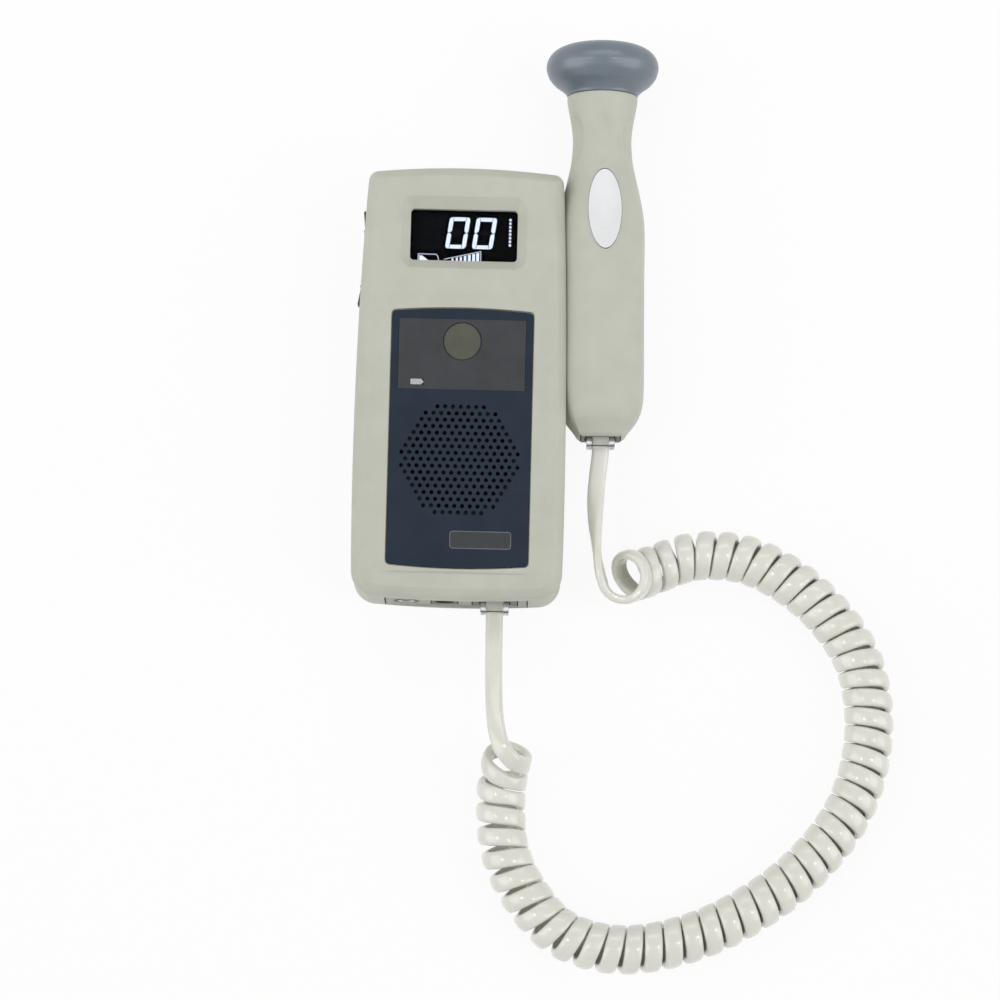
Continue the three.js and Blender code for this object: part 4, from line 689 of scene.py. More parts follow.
# Case
def half_width(y):
    """Half the case's width at a place along it: widest below its middle, narrower at its top."""
    along = (y - WIDEST_Y) / (CASE_LENGTH / 2 - WIDEST_Y)
    return (CASE_WIDTH - (CASE_WIDTH - CASE_TOP_WIDTH) * along * along) / 2


def top_edge(x):
    """The arched top end."""
    return CASE_LENGTH / 2 - TOP_ARCH * (2 * x / CASE_TOP_WIDTH) ** 2


def foot_edge(x):
    """The arched foot end."""
    return FOOT_ARCH * (2 * x / CASE_WIDTH) ** 2 - CASE_LENGTH / 2


def case_outline(grow):
    """The case seen from above: bowed flanks, arched ends and rounded corners."""
    corner_steps, side_steps, end_steps = 12, 26, 14
    top_radius, foot_radius = max(TOP_CORNER + grow, 0.8), max(FOOT_CORNER + grow, 0.8)
    top_x = half_width(CASE_LENGTH / 2 - TOP_CORNER) + grow - top_radius
    top_y = top_edge(top_x) + grow - top_radius
    foot_x = half_width(FOOT_CORNER - CASE_LENGTH / 2) + grow - foot_radius
    foot_y = foot_edge(foot_x) - grow + foot_radius
    side = [foot_y + (top_y - foot_y) * i / side_steps for i in range(1, side_steps)]
    top = [top_x * (1 - i / end_steps) for i in range(1, end_steps)]
    foot = [foot_x * (i / end_steps - 1) for i in range(1, 2 * end_steps)]
    half = quarter(foot_x, foot_y, foot_radius, -90, corner_steps)
    half += [(half_width(y) + grow, y) for y in side]
    half += quarter(top_x, top_y, top_radius, 0, corner_steps)
    half += [(x, top_edge(x) + grow) for x in top]
    whole = half + [(0, top_edge(0) + grow)] + [(-x, y) for x, y in half[::-1]]
    return whole + [(x, foot_edge(x) - grow) for x in foot]


def bevel_levels(width, height, start, base, direction, steps=9):
    """A bevel that leaves the side softly and meets the flat face in a clear but rounded crease."""
    levels = []
    for i in range(1, steps + 1):
        up = i / steps
        levels.append((-base - (width - base) * up ** BEVEL_CURVE, start + direction * height * up))
    inset, z = levels.pop()
    return levels + [(inset + across, z - direction * down) for across, down in CREASE]


def case_inside():
    """The room that both shells leave, a wall's thickness in from the outside."""
    face, back = FACE_BEVEL[0], BACK_BEVEL[0]
    ceiling = CASE_DEPTH - WALL
    return tower("inside", case_outline, [
        (-(back + WALL - DRAFT), WALL), (-(DRAFT + WALL), WALL + BACK_BEVEL[1]),
        (-(DRAFT + WALL), ceiling - FACE_BEVEL[1]), (-(face + WALL), ceiling)])


def dock_rod(radius, sides=128):
    """A rod along the docked probe's axis, which cuts or keeps clear its groove."""
    piece = turned("dock", [(radius, -DOCK_REACH), (radius, DOCK_REACH)], sides)
    piece.data.transform(TO_DOCK @ Matrix.Rotation(math.radians(90), 4, "X"))
    return piece


def at_screws(profile, sides):
    """The same turned shape at each of the case's screws."""
    return [turned(f"at_screw_{i}", profile, sides, place) for i, place in enumerate(SCREWS)]


def bend(start, control, end, steps):
    """A curve's points from its start, pulled towards a control point, without its end."""
    shares = [i / steps for i in range(steps)]
    return [tuple((1 - t) ** 2 * a + 2 * t * (1 - t) * b + t * t * c for a, b, c in zip(start, control, end))
            for t in shares]


def panel_outline(grow):
    """The front panel seen from above, with both ends gently arched."""
    w, h, r = PANEL[0] / 2 + grow, PANEL[1] / 2 + grow, PANEL[2]
    side = h - PANEL_ARCH
    half = bend((w, r - side), (w, 0), (w, side - r), 4)
    half += bend((w, side - r), (w, side), (w - r, side), 6)
    half += bend((w - r, side), (0, h + PANEL_ARCH), (r - w, side), 24)
    half += bend((r - w, side), (-w, side), (-w, side - r), 6)
    return [(sign * x, PANEL_MIDDLE + sign * y) for sign in (1, -1) for x, y in half]


def flared(name, mouth, floor, top, bottom, flare, fillet, steps=4):
    """A tapered recess from its mouth to its floor: its upper edge rolls over and its foot is filleted."""
    rings = []

    def ring(share, grow, z):
        width, height, radius, x, y = [a + (b - a) * share for a, b in zip(mouth, floor)]
        rings.append([(px, py, z) for px, py in rounded(width, height, radius, (x, y), 12)(grow)])

    for i in range(steps + 1):
        t = i / steps
        ring(0, flare * (1 - t) ** 2, top + 0.02 - 0.22 * flare * t * (2 - t))
    for share in (0.25, 0.5, 0.75):
        ring(share, 0, top - 0.2 * flare - (top - bottom - 0.2 * flare - 0.1 * fillet) * share)
    ring(1, 0, bottom + 0.1 * fillet)
    ring(1, -0.5 * fillet, bottom)
    rings.insert(0, [(x, y, top + 3) for x, y, z in rings[0]])
    return skin(name, rings)


def on_rocker(piece):
    """Moves a piece to the left flank, from the rocker's own axes: X goes into the case, Y runs along it."""
    rise = half_width(ROCKER_Y + ROCKER_HALF) - half_width(ROCKER_Y - ROCKER_HALF)
    lean = Matrix.Rotation(math.atan2(rise, 2 * ROCKER_HALF), 4, "Z")
    piece.data.transform(Matrix.Translation((-half_width(ROCKER_Y), ROCKER_Y, 0)) @ lean)
    return piece


def on_pivot(radius, reach, sides=32):
    """A rod on the rocker's pivot, reaching as far to either side of its middle."""
    ends = (ROCKER_MIDDLE - reach, ROCKER_MIDDLE + reach)
    return turned("pivot", [(radius, z) for z in ends], sides, (PIVOT_DEPTH, 0))


def end_opening():
    """The mouth in the bottom end, with its rim rolled over."""
    gap = 2 * PART_GAP
    outline = rounded(2 * END_HALF + gap, END_TOP - END_FOOT + gap, gap, (0, (END_TOP + END_FOOT) / 2), 5)
    piece = tower("end_mouth", outline, [(0.5, -80), (0.5, -75.2), (0.2, -74.9), (0, -74.5), (0, END_INNER)])
    # Y and Z change places, so that its height runs along the case
    piece.data.transform(Matrix(((1, 0, 0, 0), (0, 0, 1, 0), (0, 1, 0, 0), (0, 0, 0, 1))))
    piece.data.flip_normals()
    return piece


def end_flange_room():
    """Room behind the mouth for the end panel's flange."""
    reach = FLANGE_REACH + PART_GAP
    return box("flange_room", -END_HALF - reach, END_HALF + reach, END_INNER - PART_GAP,
               END_INNER + FLANGE_DEPTH + PART_GAP, END_FOOT - reach, END_TOP + reach)


def light_room(low, high):
    """The charge light's hole, with a gap all round."""
    x, y, w, h = LIGHT
    return box("light_room", x - w / 2 - PART_GAP, x + w / 2 + PART_GAP,
               y - h / 2 - PART_GAP, y + h / 2 + PART_GAP, low, high)


def front_case():
    """The upper shell: walls, screw bosses, rocker ears, and every recess and hole in its face."""
    levels = [(-DRAFT - inset, PARTING + rise) for inset, rise in FRONT_SEAM]
    levels += [(-DRAFT * 0.5, 21), (0, CASE_DEPTH - FACE_BEVEL[1])]
    shell = tower("front_case", case_outline,
                  levels + bevel_levels(*FACE_BEVEL, CASE_DEPTH - FACE_BEVEL[1], 0, 1))
    cut(shell, cut(
        case_inside(), dock_rod(DOCK_RADIUS + WALL, 64),
        tower("panel_backing", panel_outline, [(WALL, PANEL_UNDER), (WALL, DISH_FLOOR)]),
        tower("surround_backing", rounded(*SURROUND_WALL, (DISPLAY_X, SURROUND[3])),
              [(0, SURROUND_UNDER), (0, DISH_FLOOR)]),
        tower("well", rounded(*WELL, OPENING_AT), [(0, WELL_FOOT), (0, 30)])))
    ears = [on_rocker(box("ear", 1.1, 6, -2.5, 2.5, low, low + 1.2)) for low in (19.7, 26.8)]
    weld(shell, *at_screws([(BOSS_RADIUS, BOSS_FOOT), (BOSS_RADIUS, BOSS_TOP)], 32), *ears)
    cut(shell,
        flared("dish", (*DISH[:3], 0, DISH[3]),
               (DISH[0] - 2 * DISH_INSET, DISH[1] - DISH_INSET, DISH[2] - 1, 0, PANEL_MIDDLE),
               CASE_DEPTH, DISH_FLOOR, 1.0, 1.2),
        flared("surround", (*SURROUND[:3], DISPLAY_X, SURROUND[3]), (*OPENING, *OPENING_AT),
               CASE_DEPTH, SURROUND_FLOOR, 0.9, 0.3),
        tower("opening", rounded(*OPENING, OPENING_AT, 12), [(0, WELL_FOOT - 1), (0, SURROUND_FLOOR + 0.3)]),
        tower("panel_pocket", panel_outline, [(PART_GAP, 29.6), (PART_GAP, 30.7), (0.42, 30.9), (0.6, 31.2)]),
        turned("sound_hole", [(SOUND_HOLE, 27), (SOUND_HOLE, DISH_FLOOR)], 96, (0, GRILLE_Y)),
        turned("key_hole", [(KEY_HOLE, 27), (KEY_HOLE, DISH_FLOOR)], 64, (0, KEY_Y)),
        light_room(27, DISH_FLOOR))
    slot = box("rocker_slot", -1.9, ROCKER_DEPTH, -ROCKER_HALF - 0.45, ROCKER_HALF + 0.45,
               ROCKER_MIDDLE - 2.8, ROCKER_MIDDLE + 2.8, 0.3)
    cut(shell, on_rocker(slot), on_rocker(on_pivot(1.2, 6, 24)), end_opening(), end_flange_room(),
        dock_rod(DOCK_RADIUS), *at_screws([(SCREW_HOLE, 5), (SCREW_HOLE, SCREW_END)], 24))
    return settle(shell, "monitor", grey_shell, ["front_shell"])


front_case()


# Navy panel and its perforations
def group_inputs(tree, *sockets):
    """Gives a geometry tree its named inputs and its output."""
    for name, kind in sockets:
        tree.interface.new_socket(name=name, in_out="INPUT", socket_type=kind)
    tree.interface.new_socket(name="Geometry", in_out="OUTPUT", socket_type="NodeSocketGeometry")
    return add(tree, "NodeGroupInput").outputs


def run_tree(piece, tree, values):
    """Runs a geometry tree on a piece and keeps the result as its mesh."""
    modifier = piece.modifiers.new("pattern", "NODES")
    modifier.node_group = tree
    for item in tree.interface.items_tree:
        if item.in_out == "INPUT" and item.name in values:
            modifier[item.identifier] = values[item.name]
    return bake(piece)


def perforation_tree():
    """Punches a triangular pattern of holes, clipped by a circle, out of a plate."""
    tree = bpy.data.node_groups.new("perforations", "GeometryNodeTree")
    given = group_inputs(tree, ("Plate", "NodeSocketGeometry"), ("Punch", "NodeSocketObject"),
                         ("Pitch", "NodeSocketFloat"), ("Clip radius", "NodeSocketFloat"),
                         ("Middle", "NodeSocketVector"), ("Finish", "NodeSocketMaterial"))
    rows = 2 * math.ceil(GRILLE_RADIUS / GRILLE_PITCH) + 5
    index = add(tree, "GeometryNodeInputIndex").outputs[0]
    count = add(tree, "FunctionNodeInputInt", integer=rows).outputs[0]
    row = add(tree, "ShaderNodeMath", {0: index, 1: count}, operation="DIVIDE").outputs[0]
    row = add(tree, "ShaderNodeMath", {0: row}, operation="FLOOR").outputs[0]
    column = add(tree, "ShaderNodeMath", {0: index, 1: count}, operation="MODULO").outputs[0]
    shift = add(tree, "ShaderNodeMath", {0: row, 1: 2.0}, operation="MODULO").outputs[0]
    half = add(tree, "ShaderNodeMath", {0: shift, 1: 0.5}, operation="MULTIPLY").outputs[0]
    across = add(tree, "ShaderNodeMath", {0: column, 1: half}, operation="ADD").outputs[0]
    across = add(tree, "ShaderNodeMath", {0: across, 1: rows // 2}, operation="SUBTRACT").outputs[0]
    up = add(tree, "ShaderNodeMath", {0: row, 1: rows // 4 * 2}, operation="SUBTRACT").outputs[0]
    up = add(tree, "ShaderNodeMath", {0: up, 1: math.sqrt(3) / 2}, operation="MULTIPLY").outputs[0]
    place = add(tree, "ShaderNodeCombineXYZ", {"X": across, "Y": up}).outputs[0]
    place = add(tree, "ShaderNodeVectorMath", {0: place, "Scale": given["Pitch"]},
                operation="SCALE").outputs[0]
    reach = add(tree, "ShaderNodeVectorMath", {0: place}, operation="LENGTH").outputs["Value"]
    beyond = add(tree, "FunctionNodeCompare", {"A": reach, "B": given["Clip radius"]},
                 data_type="FLOAT", operation="GREATER_THAN").outputs[0]
    place = add(tree, "ShaderNodeVectorMath", {0: place, 1: given["Middle"]}, operation="ADD").outputs[0]
    points = add(tree, "GeometryNodePoints", {"Count": rows * rows, "Position": place}).outputs[0]
    kept = add(tree, "GeometryNodeDeleteGeometry", {"Geometry": points, "Selection": beyond}).outputs[0]
    punch = add(tree, "GeometryNodeObjectInfo", {"Object": given["Punch"]}).outputs["Geometry"]
    placed = add(tree, "GeometryNodeInstanceOnPoints", {"Points": kept, "Instance": punch}).outputs[0]
    solid = add(tree, "GeometryNodeRealizeInstances", {"Geometry": placed}).outputs[0]
    holed = add(tree, "GeometryNodeMeshBoolean", {"Mesh 1": given["Plate"], "Mesh 2": solid},
                operation="DIFFERENCE", solver="MANIFOLD").outputs[0]
    real = add(tree, "GeometryNodeRealizeInstances", {"Geometry": holed}).outputs[0]
    done = add(tree, "GeometryNodeSetMaterial", {"Geometry": real, "Material": given["Finish"]}).outputs[0]
    add(tree, "NodeGroupOutput", {"Geometry": done})
    return tree


def front_panel():
    """The navy panel: pockets for its label and plate, holes for key and light, and the grille."""
    piece = tower("front_panel_insert", panel_outline, softened(PANEL_BACK, PANEL_FACE, 0.22, 3, foot=False))
    width, height = LABEL_POCKET
    cut(piece,
        box("label_pocket", -width / 2, width / 2, LABEL[2] - height / 2, LABEL[2] + height / 2,
            POCKET_FLOOR, CASE_DEPTH),
        tower("plate_pocket", rounded(*PLATE[:3], PLATE[3:], 8), [(0.1, POCKET_FLOOR), (0.1, CASE_DEPTH)]),
        turned("key_hole", [(KEY_HOLE, 29), (KEY_HOLE, CASE_DEPTH)], 96, (0, KEY_Y)),
        light_room(29, CASE_DEPTH))
    rim, r = 0.16, HOLE_RADIUS
    punch = turned("punch", [
        (r, PANEL_BACK - 1), (r, PANEL_FACE - rim), (r + 0.35 * rim, PANEL_FACE - 0.35 * rim),
        (r + rim, PANEL_FACE + 0.01), (r + rim, PANEL_FACE + 1)], 16)
    run_tree(piece, perforation_tree(), {
        "Punch": punch, "Pitch": GRILLE_PITCH, "Clip radius": GRILLE_RADIUS, "Middle": (0, GRILLE_Y, 0),
        "Finish": navy_panel})
    bpy.data.objects.remove(punch)
    return settle(piece, "monitor", navy_panel, ["front_panel"], angle=30)


front_panel()


# Labels, key and light
def key_label():
    """The dark film round the key, with the charge light's hole."""
    width, height, middle = LABEL
    sheet = box("key_label_film", -width / 2, width / 2, middle - height / 2, middle + height / 2,
                FILM_BACK, PANEL_FACE, 0.12)
    x, y, w, h = LIGHT
    round_hole = [(KEY_HOLE, 30), (KEY_HOLE, 30.72), (KEY_HOLE + 0.08, 30.84)]
    cut(sheet, turned("key_hole", round_hole, 96, (0, KEY_Y)),
        tower("light_hole", rounded(w + 0.2, h + 0.2, 0.25, (x, y), 4), [(0, 30), (0, CASE_DEPTH)]))
    return settle(sheet, "monitor", film_grey, ["key_label"])


def model_plate():
    """The small bare plate: a printed film with a pale rim."""
    outline = rounded(*PLATE[:3], PLATE[3:], 8)
    base = tower("plate_base", outline, softened(FILM_BACK, 30.74, 0.08, 2, foot=False))
    field = tower("plate_field", outline, [(-0.32, 30.6), (-0.32, 30.77), (-0.38, PANEL_FACE)])
    whole = merged("model_plate_film", painted(base, film_edge), painted(field, film_grey))
    return settle(whole, "monitor", None, ["model_plate"])


def power_button():
    """A soft-touch key with a rolled rim and a shallow dimple for the finger."""
    edge, r = PANEL_FACE - 0.25, KEY_RADIUS + 0.18
    profile = [(0, 24.8), (2, 24.8), (2, 26.6), (7.6, 26.6), (7.6, 27.5), (r, 27.5), (r, edge - 0.4)]
    for i in range(1, 7):
        t = math.pi / 2 * i / 6
        profile.append((r - 0.5 + 0.5 * math.cos(t), edge - 0.3 + 0.3 * math.sin(t)))
    # The dome and its dimple, as radii and heights over the edge
    profile += [(radius, edge + rise) for radius, rise in (
        (5.3, 0.1), (4.6, 0.14), (4.35, 0.1), (4.1, 0), (3.2, -0.12), (2.2, -0.2), (1.75, -0.23),
        (1.5, -0.32), (0.8, -0.38), (0, -0.4))]
    return settle(turned("power_button_key", profile, 96, (0, KEY_Y)), "power_button", olive_key,
                  ["power_button"], angle=45)


def light_lens():
    """The charge light: a milky lens shaped as a small battery."""
    material, tree, shader, place = surface("milky_diffuser", Roughness=0.35, IOR=1.49,
                                            Subsurface_Weight=0.3, Subsurface_Scale=0.001)
    clouds = add(tree, "ShaderNodeTexNoise", {"Vector": place, "Scale": 1000 / 1.2, "Detail": 2.0}).outputs[0]
    two_tone(tree, shader, clouds, 0.3, 0.7, "#adb0b2", "#bcbfc0")
    x, y, w, h = LIGHT
    can = tower("can", rounded(w - 0.5, h, 0.3, (x - 0.25, y), 4), softened(20.7, PANEL_FACE, 0.12, 2))
    nub = tower("nub", rounded(0.8, h * 0.5, 0.15, (x + w / 2 - 0.4, y), 3),
                softened(20.8, PANEL_FACE - 0.02, 0.1, 2))
    return settle(weld(can, nub), "monitor", material, ["charge_light"])


key_label()
model_plate()
power_button()
light_lens()


# Display: the smoked window, and the module whose segments light up behind it
def display_window():
    """The smoked pane behind the opening."""
    outline = rounded(OPENING[0] + 2.6, OPENING[1] + 2.6, 2.8, OPENING_AT, 8)
    pane = tower("display_window_pane", outline, softened(WINDOW_BACK, WELL_FOOT - PART_GAP, 0.15, 2))
    return settle(pane, "monitor", smoked_window, ["display_window"])


SEGMENT_TOP = WINDOW_BACK - PART_GAP


def flat_shape(name, points, material):
    """A lit shape on the display's face."""
    piece = skin(name, [[(x, y, z) for x, y in points] for z in (SEGMENT_TOP - 0.06, SEGMENT_TOP)])
    return painted(piece, material)


def digit(x, y, lit, width=7.1, height=11, stroke=1.42, gap=0.09, radius=1.1):
    """Seven leaning segments: the upright ones carry the round corners, and the ones not lit are dim."""
    w, h, s, g = width / 2, height / 2, stroke, gap
    corner = [(math.cos(math.radians(a)), math.sin(math.radians(a))) for a in (90, 67, 45, 23, 0)]
    upright = [(w - s + g, h)] + [(w - radius + radius * c, h - radius + radius * d) for c, d in corner]
    upright += [(w, g + 0.5), (w - 0.3, g), (w - 0.75, g), (w - s, g + 0.65), (w - s, h - s),
                (w - s + g, h - s)]
    bar = [(-w + s + g, h), (w - s - g, h), (w - s - g, h - s + 0.1), (-w + s + g, h - s + 0.1)]
    shapes = {
        "b": upright, "f": [(-px, py) for px, py in upright], "c": [(px, -py) for px, py in upright],
        "e": [(-px, -py) for px, py in upright], "a": bar, "d": [(px, -py) for px, py in bar],
        "g": [(-w + s + g, 0), (-w + s + 0.6, s / 2), (w - s - 0.6, s / 2), (w - s - g, 0),
              (w - s - 0.6, -s / 2), (-w + s + 0.6, -s / 2)],
    }
    lean = math.tan(math.radians(8))
    return [flat_shape(f"segment_{key}", [(x + px + lean * py, y + py) for px, py in points],
                       lit_segment if key in lit else dim_segment) for key, points in shapes.items()]


def row_tree():
    """Repeats one piece along a straight row."""
    tree = bpy.data.node_groups.new("row_of_pieces", "GeometryNodeTree")
    given = group_inputs(tree, ("Geometry", "NodeSocketGeometry"), ("Piece", "NodeSocketObject"),
                         ("Count", "NodeSocketInt"), ("First", "NodeSocketVector"),
                         ("Step", "NodeSocketVector"), ("Finish", "NodeSocketMaterial"))
    line = add(tree, "GeometryNodeMeshLine", {"Count": given["Count"], "Start Location": given["First"],
                                              "Offset": given["Step"]}, mode="OFFSET").outputs[0]
    piece = add(tree, "GeometryNodeObjectInfo", {"Object": given["Piece"]}).outputs["Geometry"]
    placed = add(tree, "GeometryNodeInstanceOnPoints", {"Points": line, "Instance": piece}).outputs[0]
    real = add(tree, "GeometryNodeRealizeInstances", {"Geometry": placed}).outputs[0]
    done = add(tree, "GeometryNodeSetMaterial", {"Geometry": real, "Material": given["Finish"]}).outputs[0]
    add(tree, "NodeGroupOutput", {"Geometry": done})
    return tree


rows_of_pieces = row_tree()


def row(name, piece, count, first, step, material):
    """A row of equal pieces, made by the tree above; the first piece is used up."""
    base = in_scene(name, bpy.data.meshes.new(name))
    run_tree(base, rows_of_pieces, {"Piece": piece, "Count": count, "First": first, "Step": step,
                                    "Finish": material})
    bpy.data.objects.remove(piece)
    return base


def display_module():
    """The module's black glass: two lit digits, a dim one, a row of dots, a battery and a wedge of bars.

    Places across it are in millimetres from the display's middle."""
    x, y = DISPLAY_X, DISPLAY_Y
    glass = box("glass", -20.55, 20.55, y - 11.2, y + 9.9, 19.3, SEGMENT_TOP - 0.04, 0.4)
    parts = [painted(glass, display_black)]
    for place, lit in ((-2.2, "abcdef"), (7.0, "abcdef"), (-11.1, "")):
        parts += digit(x + place, y + 0.55, lit)
    dot = turned("dot", [(0.001, -0.06), (0.45, -0.06), (0.45, 0), (0.001, 0)], 12)
    parts.append(row("dots", dot, 8, (x + 15.8, y - 3.4, SEGMENT_TOP), (0, 1.27, 0), lit_segment))
    foot = y - 10.4

    def slope(px):
        """The wedge's sloping line."""
        return y - 8.7 + (px + 6.7) * 0.239

    bars = ((-4.1, 0.65), (-2.65, 0.7), (-1.3, 0.75), (0.1, 0.85), (1.5, 0.95), (2.95, 1.0), (4.35, 1.0))
    shapes = [[(px, foot), (px + width, foot), (px + width, slope(px + width) - 0.45), (px, slope(px) - 0.45)]
              for px, width in bars]
    shapes.append([(-6.7, slope(-6.7)), (6.0, slope(6.0)), (6.0, slope(6.0) - 0.2),
                   (-6.7, slope(-6.7) - 0.2)])
    shapes.append([(5.8, foot), (6.0, foot), (6.0, slope(5.8) - 0.1), (5.8, slope(5.8) - 0.1)])
    top = y - 7.0
    shapes += [
        [(-15.7, top), (-9.2, top), (-9.2, top - 0.2), (-15.7, top - 0.2)],
        [(-15.7, top - 0.25), (-15.5, top - 0.25), (-15.5, foot), (-15.7, foot)],
        [(-9.2, top - 0.25), (-8.9, top - 0.5), (-8.9, top - 0.85), (-8.55, top - 1.2), (-8.55, foot),
         (-8.75, foot), (-8.75, top - 1.25), (-9.1, top - 0.95)],
        [(-15.2, top - 0.6), (-14.3, top - 0.6), (-10.6, foot), (-15.2, foot)],
    ]
    parts += [flat_shape(f"sign_{i}", [(x + px, py) for px, py in points], lit_segment)
              for i, points in enumerate(shapes)]
    whole = merged("display_module_glass", *parts)
    return settle(whole, "monitor", None, ["display_module"])


display_window()
display_module()


# Probe
def stretch(start, end, low, high, shares):
    """One stretch of the probe's outline: places, radii, and how square the handle is there."""
    return [(start + along * (end - start), low + out * (high - low), square[0] if square else 0)
            for along, out, *square in shares]


HANDLE = (
    stretch(HANDLE_FOOT, 1, FOOT_RADIUS, BARREL_RADIUS, [
        (0, 0.03, 1), (0.09, 0.17, 0.8), (0.19, 0.37, 0.55), (0.33, 0.64, 0.3), (0.52, 0.86, 0.1),
        (0.74, 0.97), (1, 1)])
    + [(20, BARREL_RADIUS, 0), (38, BARREL_RADIUS, 0)]
    + stretch(TAPER, WAIST, BARREL_RADIUS, WAIST_RADIUS, [
        (0, 0), (0.19, 0.11), (0.39, 0.35), (0.63, 0.71), (0.77, 0.89), (1, 1)])
    + stretch(WAIST, HANDLE_TOP, WAIST_RADIUS, NECK_RADIUS, [(0.32, 0.2), (0.64, 0.63), (0.91, 1), (1, 1)]))
HEAD = (
    stretch(HEAD_SEAT, HEAD_RIM, NECK_RADIUS, HEAD_RADIUS, [
        (0, 0), (0.11, 0.06), (0.27, 0.28), (0.46, 0.63), (0.68, 0.87), (0.87, 0.965), (1, 1)])
    + stretch(HEAD_RIM, HEAD_FACE, HEAD_RADIUS, 0, [
        (0.34, 0.026), (0.65, 0.119), (0.875, 0.289), (0.97, 0.5), (1, 1)]))
HANDLE_LINE = smooth_line(HANDLE, 24)


def handle_ring(y, radius, square, sides, flute=0.0):
    """A ring round the handle, squared off near its foot and with six flutes round its waist."""
    along = (y - WAIST) / FLUTE_HALF
    ring = []
    for i in range(sides):
        angle = 2 * math.pi * i / sides
        c, s = math.cos(angle), math.sin(angle)
        corner = 1 / max(abs(c), abs(s)) - 1
        away = (math.degrees(angle) % 60 - 30) / 20
        dent = flute * min(1, 1.8 * max(0, 1 - away * away - along * along))
        reach = radius * (1 + square * SQUARING * corner) - dent
        ring.append((reach * c, y, reach * s))
    return ring


def handle_places(first, last, step=1.0):
    """The handle's outline between two places along it, as place, radius and squareness."""
    places, following = [], first
    for a, b in zip(HANDLE_LINE, HANDLE_LINE[1:]):
        while a.x <= following <= b.x and following <= last:
            places.append(tuple(a.lerp(b, (following - a.x) / max(b.x - a.x, 1e-6))))
            following += step
    return places


def probe_handle():
    """The handle: a hollow shell with its socket's room in the foot."""
    places = handle_places(HANDLE_FOOT + 0.6, HANDLE_TOP - 0.5, 0.75)
    foot = [(HANDLE_FOOT, 7.3, 1), (HANDLE_FOOT + 0.08, 7.55, 1), (HANDLE_FOOT + 0.28, 7.75, 0.96)]
    top = [(HANDLE_TOP, 12.08, 0), (HANDLE_TOP + 0.16, 12.02, 0), (HANDLE_TOP + 0.22, 11.8, 0)]
    shell = skin("probe_handle_shell", [handle_ring(*p, 168, FLUTE_DEPTH) for p in foot + places + top])
    bore = [(y, radius - HANDLE_WALL, square) for y, radius, square in handle_places(-12, 96.4, 4)]
    bore += [(97.4, 10.3, 0), (HANDLE_TOP + 1, 10.3, 0)]
    cut(shell, skin("bore", [handle_ring(*p, 48) for p in bore]),
        box("socket_room", -7, 7, HANDLE_FOOT - 1, HANDLE_FOOT + 14.3, -6, 6))
    return settle(shell, "probe", grey_shell, ["probe_handle"], docked=True, weigh=False)


def probe_head():
    """The head: a turned shell with a spigot in the handle and a rounded face."""
    outline = [(p.y, p.x) for p in smooth_line(HEAD[:-1], 10)]
    outline = [(11.8, HEAD_SEAT), (12.0, HEAD_SEAT + 0.1)] + outline[3:]
    flat = [(outline[-1][0] * share, HEAD_FACE) for share in (0.8, 0.4, 0)]
    outline[-1] = (outline[-1][0], HEAD_FACE - 0.12)
    profile = [(8.4, 98), (10, 98), (10, HEAD_SEAT)] + outline + flat
    profile += [(0, 118.2), (12.3, 118.2), (12.3, 109.2), (8.4, 108)]
    piece = turn(turned("probe_head_shell", profile + [profile[0]], 128), "X", -90)
    piece.data.transform(Matrix.Scale(-1, 4, (0, 0, 1)))
    piece.data.flip_normals()
    return settle(piece, "probe", blue_grey, ["probe_head"], docked=True)


OVAL_Y, OVAL_HALF_X, OVAL_HALF_Y, OVAL_LEAN, OVAL_SIDES = 61.15, 6.0, 14.8, math.radians(4), 96


def probe_label():
    """The oval film bent onto the handle: white, with a dark line printed just inside its edge."""
    def ring(share, lift):
        points = []
        for i in range(OVAL_SIDES):
            angle = 2 * math.pi * i / OVAL_SIDES
            x, y = OVAL_HALF_X * share * math.cos(angle), OVAL_Y + OVAL_HALF_Y * share * math.sin(angle)
            radius = handle_places(y, y)[0][1] + lift
            up = math.sqrt(radius * radius - x * x)
            points.append((x * math.cos(OVAL_LEAN) + up * math.sin(OVAL_LEAN), y,
                           up * math.cos(OVAL_LEAN) - x * math.sin(OVAL_LEAN)))
        return points

    under, over, dark_band = 0.1, 0.4, 4
    piece = skin("probe_label_film", [ring(share, lift) for share, lift in (
        (0.2, under), (0.6, under), (1, under), (0.994, 0.36), (0.985, over), (0.958, over), (0.7, over),
        (0.45, over), (0.2, over))])
    for material in (film_white, film_line):
        piece.data.materials.append(material)
    for face in piece.data.polygons[dark_band * OVAL_SIDES:(dark_band + 1) * OVAL_SIDES]:
        face.material_index = 1
    return settle(piece, "probe", None, ["probe_label"], docked=True)


probe_handle()
probe_head()
probe_label()


# Back of the case, its door, its screws and the volume rocker
def back_levels(low):
    """The lower half's side, from the back's edge up to the parting line."""
    round_back = bevel_levels(BACK_BEVEL[0], BACK_BEVEL[1] - low, BACK_BEVEL[1], DRAFT, -1)
    side = [(-DRAFT, BACK_BEVEL[1])] + [(-DRAFT - inset, PARTING - drop) for inset, drop in BACK_SEAM]
    return round_back[::-1] + side


